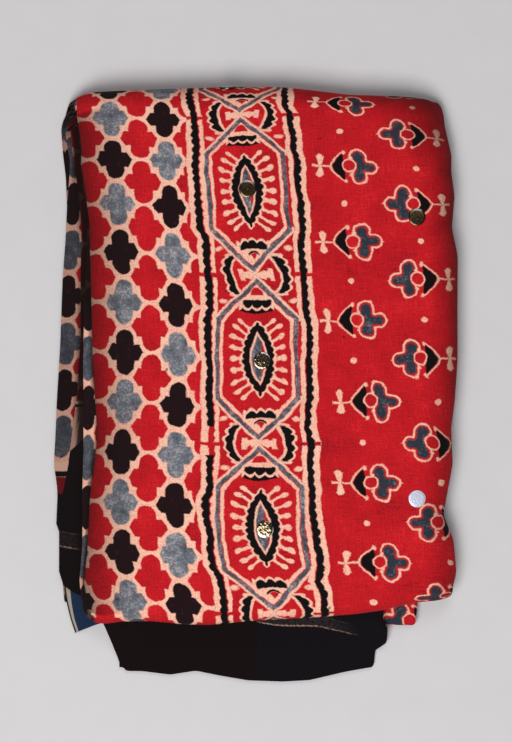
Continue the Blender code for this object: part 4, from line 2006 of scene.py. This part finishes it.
    def striped_end(
        self, cloth: ClothMeasure, painted: Paint, striped_v: float, rough: Field
    ) -> Paint:
        """Draws the striped end: blue, with a cream stripe beside each selvage.

        Args:
            cloth: The cloth's coordinates.
            painted: The colour below it.
            striped_v: The print's length measure at its cut.
            rough: How ragged printed edges are.

        Returns:
            The colour with it.
        """
        u = cloth.u
        start = cloth.v * -1.0 + (striped_v - self.striped_run)
        edge = (u - SELVAGE_U).least(u * -1.0 + SECOND_SELVAGE_U)
        blue = (start + rough).ink(self.softness)
        tone = (cloth.grain(1.5, 3.0) * 1.6).math("ADD", 0.3, clamp=True)
        colour = cloth.paint(self.stripe_blue).under(tone, cloth.paint(self.indigo_deep))
        painted = painted.under(blue, colour)
        cream = edge.line(*self.cream_stripe).most(start)
        painted = painted.under(
            (cream + rough * 0.5).ink(self.softness), cloth.paint(self.stripe_cream)
        )
        black = (edge - 1.0).most(start)
        return painted.under(black.ink(self.softness), cloth.paint(self.end_black))


# ---- The mirrors ----


class Shine(Enum):
    """How a mirror looks from straight above, which its tilt gives it; each look is painted in."""

    DARK = 0
    SPARKLING = 1
    BRIGHT = 2


@dataclass(frozen=True)
class SilveredGlass:
    """Hand-cut silvered glass: slightly wavy, with a painted glint on an arc of its bevel."""

    name: str
    # painted reflection: its colour stands in for what the mirror reflects, dark olive or pale
    painted_reflection: str
    wave: float  # height of its waves in millimetres
    grain: float  # their size in millimetres
    haze: tuple[float, float]  # its least and most roughness
    silver: float = 1.0  # how much of its face mirrors; the rest is its pale colour, a painted reflection
    ground: str = "CFCBD8"  # painted highlight: the pale colour of the glint on the bevel

    def make(self) -> bpy.types.Material:
        """Builds the material: polished metal seen through glass, with its waves as bump.

        Returns:
            The material.
        """
        material = bpy.data.materials.new(self.name)
        tree = new_tree(material)
        place = add_node(tree, "TexCoord", {}).outputs["Object"]
        links = {"Vector": place, "Scale": 1 / (self.grain * MM), "Smoothness": 0.4}
        waves = add_node(tree, "TexVoronoi", links, feature="SMOOTH_F1")
        haze = add_node(tree, "TexNoise", {"Vector": place, "Scale": 900.0, "Detail": 3.0})
        links = {0: haze.outputs[0], 1: 0.35, 2: 0.7, 3: self.haze[0], 4: self.haze[1]}
        rough = add_node(tree, "MapRange", links)
        # Painted highlight: the pale glint arc on the bevel, mixed into the colour and taken out
        # of the metal
        edge = add_node(tree, "Attribute", {}, attribute_name="painted_glint").outputs["Fac"]
        links = {0: edge, 6: linear(self.painted_reflection), 7: linear(self.ground)}
        painted_reflection = add_node(tree, "Mix", links, data_type="RGBA")
        links = {0: edge, 1: -self.silver, 2: self.silver}
        metal = add_node(tree, "Math", links, operation="MULTIPLY_ADD")
        links = {"Strength": 1.0, "Distance": self.wave * MM, "Height": waves.outputs[0]}
        bump = add_node(tree, "Bump", links)
        links = {
            "Base Color": painted_reflection.outputs[2], "Metallic": metal.outputs[0],
            "Roughness": rough.outputs[0], "Normal": bump.outputs[0],
            "Coat Weight": 0.3, "Coat Roughness": 0.06,
        }
        shader = add_node(tree, "BsdfPrincipled", links)
        add_node(tree, "OutputMaterial", {0: shader.outputs[0]})
        return material


@dataclass
class RoundMirror:
    """One round mirror, seated on the cloth."""

    node: str
    middle: tuple[float, float, float]  # in millimetres
    towards: tuple[float, float, float]
    shine: Shine
    glint_at: float  # the angle of its painted glint on the bevel, in degrees
    glint_span: float  # and over how many degrees to each side
    radius: float = 6.3
    thick: float = 1.0
    bevel: float = 0.45
    steps: int = 56
    probe: float = 40.0
    gap: float = 0.25

    @property
    def name(self) -> str:
        """Its name in the scene."""
        return f"{self.node}_glass"

    def seat(self, tree: BVHTree) -> tuple[Vector, Vector]:
        """Finds how it lies on the cloth.

        Sixteen rays in a ring near its rim meet the cloth. The mean of the hits is its middle, the
        pairs of opposite hits give its slope, and it is raised until the highest hit is clear.

        Args:
            tree: The cloth's faces.

        Returns:
            The middle of its underside and the direction that it faces, in metres.
        """
        out = Vector(self.towards).normalized()
        side = out.orthogonal().normalized()
        other = out.cross(side)
        centre = Vector(self.middle) * MM
        hits = []
        for angle in np.linspace(0, 2 * np.pi, 16, endpoint=False):
            ring = side * np.cos(angle) + other * np.sin(angle)
            start = centre + ring * (self.radius * 0.97 * MM) + out * (self.probe * MM)
            hit = tree.ray_cast(start, -out, 2 * self.probe * MM)[0]
            if hit is not None:
                hits.append(hit)
        middle = sum(hits, Vector()) / len(hits)
        first = (hits[0] - hits[8]).normalized()
        second = (hits[4] - hits[12]).normalized()
        normal = first.cross(second).normalized()
        normal = normal if normal.dot(out) > 0 else -normal
        proud = max((hit - middle).dot(normal) for hit in hits)
        return middle + normal * (proud + self.gap * MM), normal

    def build(self, tree: BVHTree) -> bpy.types.Object:
        """Turns its bevelled profile into a disc, its rim a little out of round.

        The profile goes from the middle of the underside round the rim to the middle of the face;
        each ring's radius changes by a few small sines of the angle, as hand-cut glass does.

        Args:
            tree: The cloth's faces.

        Returns:
            The disc.
        """
        middle, normal = self.seat(tree)
        rim, thick, bevel = self.radius, self.thick, self.bevel
        places = (
            (0.02, 0.0), (rim * 0.5, 0.0), (rim - 0.12, 0.0), (rim, 0.12), (rim, thick - bevel),
            (rim - bevel * 0.4, thick - bevel * 0.35), (rim - bevel * 1.5, thick),
            (rim * 0.7, thick + 0.03), (rim * 0.35, thick + 0.06), (0.02, thick + 0.07),
        )
        profile = np.array(places)
        angle = np.linspace(0, 2 * np.pi, self.steps, endpoint=False)
        seed = sum(ord(letter) for letter in self.node)
        uneven = 1 + 0.012 * np.sin(3 * angle + seed) + 0.008 * np.sin(5 * angle + 2 * seed)
        radius = profile[:, 0][:, None] * uneven
        height = np.repeat(profile[:, 1][:, None], self.steps, axis=1)
        local = np.stack([radius * np.cos(angle), radius * np.sin(angle), height], axis=-1)
        points = local.reshape(-1, 3)
        index = np.arange(len(points)).reshape(len(profile), self.steps)
        faces = quads_of(np.concatenate([index, index[:, :1]], axis=1))
        turn = normal.to_track_quat("Z", "Y").to_matrix()
        placed = points @ np.array(turn).T + np.array(middle) / MM
        disc = put_in_mesh(self.name, placed, faces)
        self.paint_glint(disc, profile, placed.reshape(*index.shape, 3))
        self.close(disc, index)
        disc.data.shade_smooth()
        disc.data.set_sharp_from_angle(angle=np.radians(28))
        return disc

    def paint_glint(self, disc: bpy.types.Object, profile: np.ndarray, placed: np.ndarray) -> None:
        """Paints a highlight: a pale arc on the bevel, fading towards its ends, where a glint
        shows.

        Args:
            disc: The disc, with one point for each place of the profile at each angle.
            profile: The profile's radii and heights.
            placed: The disc's points in the same order, in the scene.
        """
        off = placed - placed.mean(axis=(0, 1))
        angle = np.degrees(np.arctan2(off[..., 1], off[..., 0]))
        away = np.abs((angle - self.glint_at + 180) % 360 - 180)
        arc = eased_step((self.glint_span - away) / 25.0)
        on_bevel = (profile[:, 0] > self.radius - 1.3 * self.bevel) & (profile[:, 1] > 0.2)
        layer = disc.data.attributes.new("painted_glint", "FLOAT", "POINT")
        layer.data.foreach_set("value", (on_bevel[:, None] * arc).astype(np.float32).ravel())

    def close(self, disc: bpy.types.Object, index: np.ndarray) -> None:
        """Closes the small holes left in the middle of the underside and of the face.

        Args:
            disc: The disc.
            index: Its point numbers, ring by ring.
        """
        shape = bmesh.new()
        shape.from_mesh(disc.data)
        shape.verts.ensure_lookup_table()
        shape.faces.new([shape.verts[number] for number in index[0][::-1]])
        shape.faces.new([shape.verts[number] for number in index[-1]])
        bmesh.ops.recalc_face_normals(shape, faces=shape.faces)
        shape.to_mesh(disc.data)
        shape.free()

    def declare(self, disc: bpy.types.Object) -> None:
        """Says what it stands for and what it rides on.

        Args:
            disc: The disc.
        """
        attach(disc, "root")
        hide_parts(self.node)


MIRRORS = (
    RoundMirror("mirror_border_back", (-6.3, 142.6, 40.0), (0, 0, 1), Shine.DARK, 95, 55),
    RoundMirror("mirror_border_middle", (4.4, 16.4, 43.0), (0, 0, 1), Shine.SPARKLING, 60, 50),
    RoundMirror("mirror_border_front", (6.5, -107.3, 43.0), (0, 0, 1), Shine.SPARKLING, -60, 85),
    RoundMirror("mirror_field_back", (118.1, 121.9, 43.0), (0, 0, 1), Shine.DARK, 80, 40),
    RoundMirror("mirror_field_front", (118.1, -84.9, 43.0), (0, 0, 1), Shine.BRIGHT, 20, 120),
    RoundMirror("mirror_back_fold", (-21.0, 215.0, 25.0), (0, 1, 0), Shine.DARK, 90, 0),
)
# Each look's glass: its colour a painted reflection, dark for the dull ones and pale for the
# bright one
GLASSES = {
    Shine.DARK: SilveredGlass("silvered_glass_painted_dark", "3E3322", 0.01, 2.6, (0.12, 0.3)),
    Shine.SPARKLING: SilveredGlass("silvered_glass_crazed_painted_dark", "5A5040", 0.16, 1.7, (0.05, 0.22)),
    Shine.BRIGHT: SilveredGlass("silvered_glass_painted_bright", "A6A8B8", 0.10, 1.8, (0.3, 0.6), 0.4),
}


# ---- The studio ----


class SoftLight(NamedTuple):
    """A square soft light."""

    name: str
    place: tuple[float, float, float]
    size: float
    power: float
    colour: str


@dataclass
class Studio:
    """A plain pale floor, soft light from above and a camera that looks straight down."""

    floor_size: float = 6.0
    floor_drop: float = 0.0002
    floor_colour: str = "B9B8BA"
    floor_grain: str = "BEBDBF"  # the paler colour of its grain
    world_colour: str = "F4F4F8"
    world_strength: float = 0.19
    height: float = 2.2
    level: float = 0.025  # the height at which the picture's scale is set
    picture_height: float = 742 * 0.74 * MM
    centre: tuple[float, float] = (0.0, 0.0089)
    sensor: float = 36.0
    lights: tuple[SoftLight, ...] = (
        SoftLight("key_light", (-0.40, -0.85, 2.3), 1.2, 66.0, "FFFDFB"),
        SoftLight("fill_light", (0.25, 1.05, 2.3), 0.9, 13.0, "FFFFFF"),
    )

    def floor(self) -> bpy.types.Object:
        """Lays the floor, one square with a fine even grain.

        Returns:
            The floor.
        """
        half = self.floor_size / 2 / MM
        corners = np.array([[-half, -half], [half, -half], [half, half], [-half, half]])
        points = np.column_stack([corners, np.full(4, -self.floor_drop / MM)])
        floor = put_in_mesh("Floor", points, np.array([[0, 1, 2, 3]]))
        material = bpy.data.materials.new("matt_painted_floor")
        tree = new_tree(material)
        place = add_node(tree, "TexCoord", {}).outputs["Object"]
        grain = add_node(tree, "TexNoise", {"Vector": place, "Scale": 40.0, "Detail": 4.0})
        links = {0: grain.outputs[0], 6: linear(self.floor_colour), 7: linear(self.floor_grain)}
        tone = add_node(tree, "Mix", links, data_type="RGBA")
        links = {"Base Color": tone.outputs[2], "Roughness": 0.9, "Specular IOR Level": 0.2}
        shader = add_node(tree, "BsdfPrincipled", links)
        add_node(tree, "OutputMaterial", {0: shader.outputs[0]})
        floor.data.materials.append(material)
        return floor

    def light(self) -> None:
        """Hangs the soft lights, each turned to the cloth, and sets the even light round it."""
        for entry in self.lights:
            data = bpy.data.lights.new(entry.name, "AREA")
            data.size = entry.size
            data.energy = entry.power
            data.color = linear(entry.colour)[:3]
            lamp = bpy.data.objects.new(entry.name, data)
            lamp.location = entry.place
            lamp.rotation_euler = (-Vector(entry.place)).to_track_quat("-Z", "Y").to_euler()
            bpy.context.scene.collection.objects.link(lamp)
        world = bpy.data.worlds.new("soft_room")
        tree = new_tree(world)
        links = {0: linear(self.world_colour), 1: self.world_strength}
        add_node(tree, "OutputWorld", {0: add_node(tree, "Background", links).outputs[0]})
        bpy.context.scene.world = world

    def camera(self) -> None:
        """Sets the camera: its lens follows from the height and from the picture's real height."""
        data = bpy.data.cameras.new("camera")
        data.sensor_fit = "AUTO"
        data.sensor_width = self.sensor
        data.lens = self.sensor * self.height / self.picture_height
        data.clip_start, data.clip_end = 0.05, 20.0
        camera = bpy.data.objects.new("camera", data)
        camera.location = (*self.centre, self.level + self.height)
        bpy.context.scene.collection.objects.link(camera)
        bpy.context.scene.camera = camera
        bpy.context.scene.view_settings.view_transform = "Standard"


def main() -> None:
    """Builds the floor, the cloth, its mirrors, the light and the camera; notes the sizes."""
    logging.basicConfig(level=logging.INFO, format="%(name)s: %(message)s")
    studio = Studio()
    studio.floor()
    cloth_maker = AjrakhCloth(FoldedSheet())
    cloth = cloth_maker.build()
    cloth.data.materials.append(PrintedCotton().make(cloth_maker.striped_v))
    LOG.info("%s: %d points", cloth.name, len(cloth.data.vertices))
    graph = bpy.context.evaluated_depsgraph_get()
    tree = BVHTree.FromObject(cloth, graph)
    glasses = {shine: finish.make() for shine, finish in GLASSES.items()}
    discs = []
    for mirror in MIRRORS:
        disc = mirror.build(tree)
        disc.data.materials.append(glasses[mirror.shine])
        mirror.declare(disc)
        discs.append(disc)
        LOG.info("%s: %d points", disc.name, len(disc.data.vertices))
    cloth_maker.declare(cloth, discs)
    studio.light()
    studio.camera()


if __name__ == "__main__":
    main()
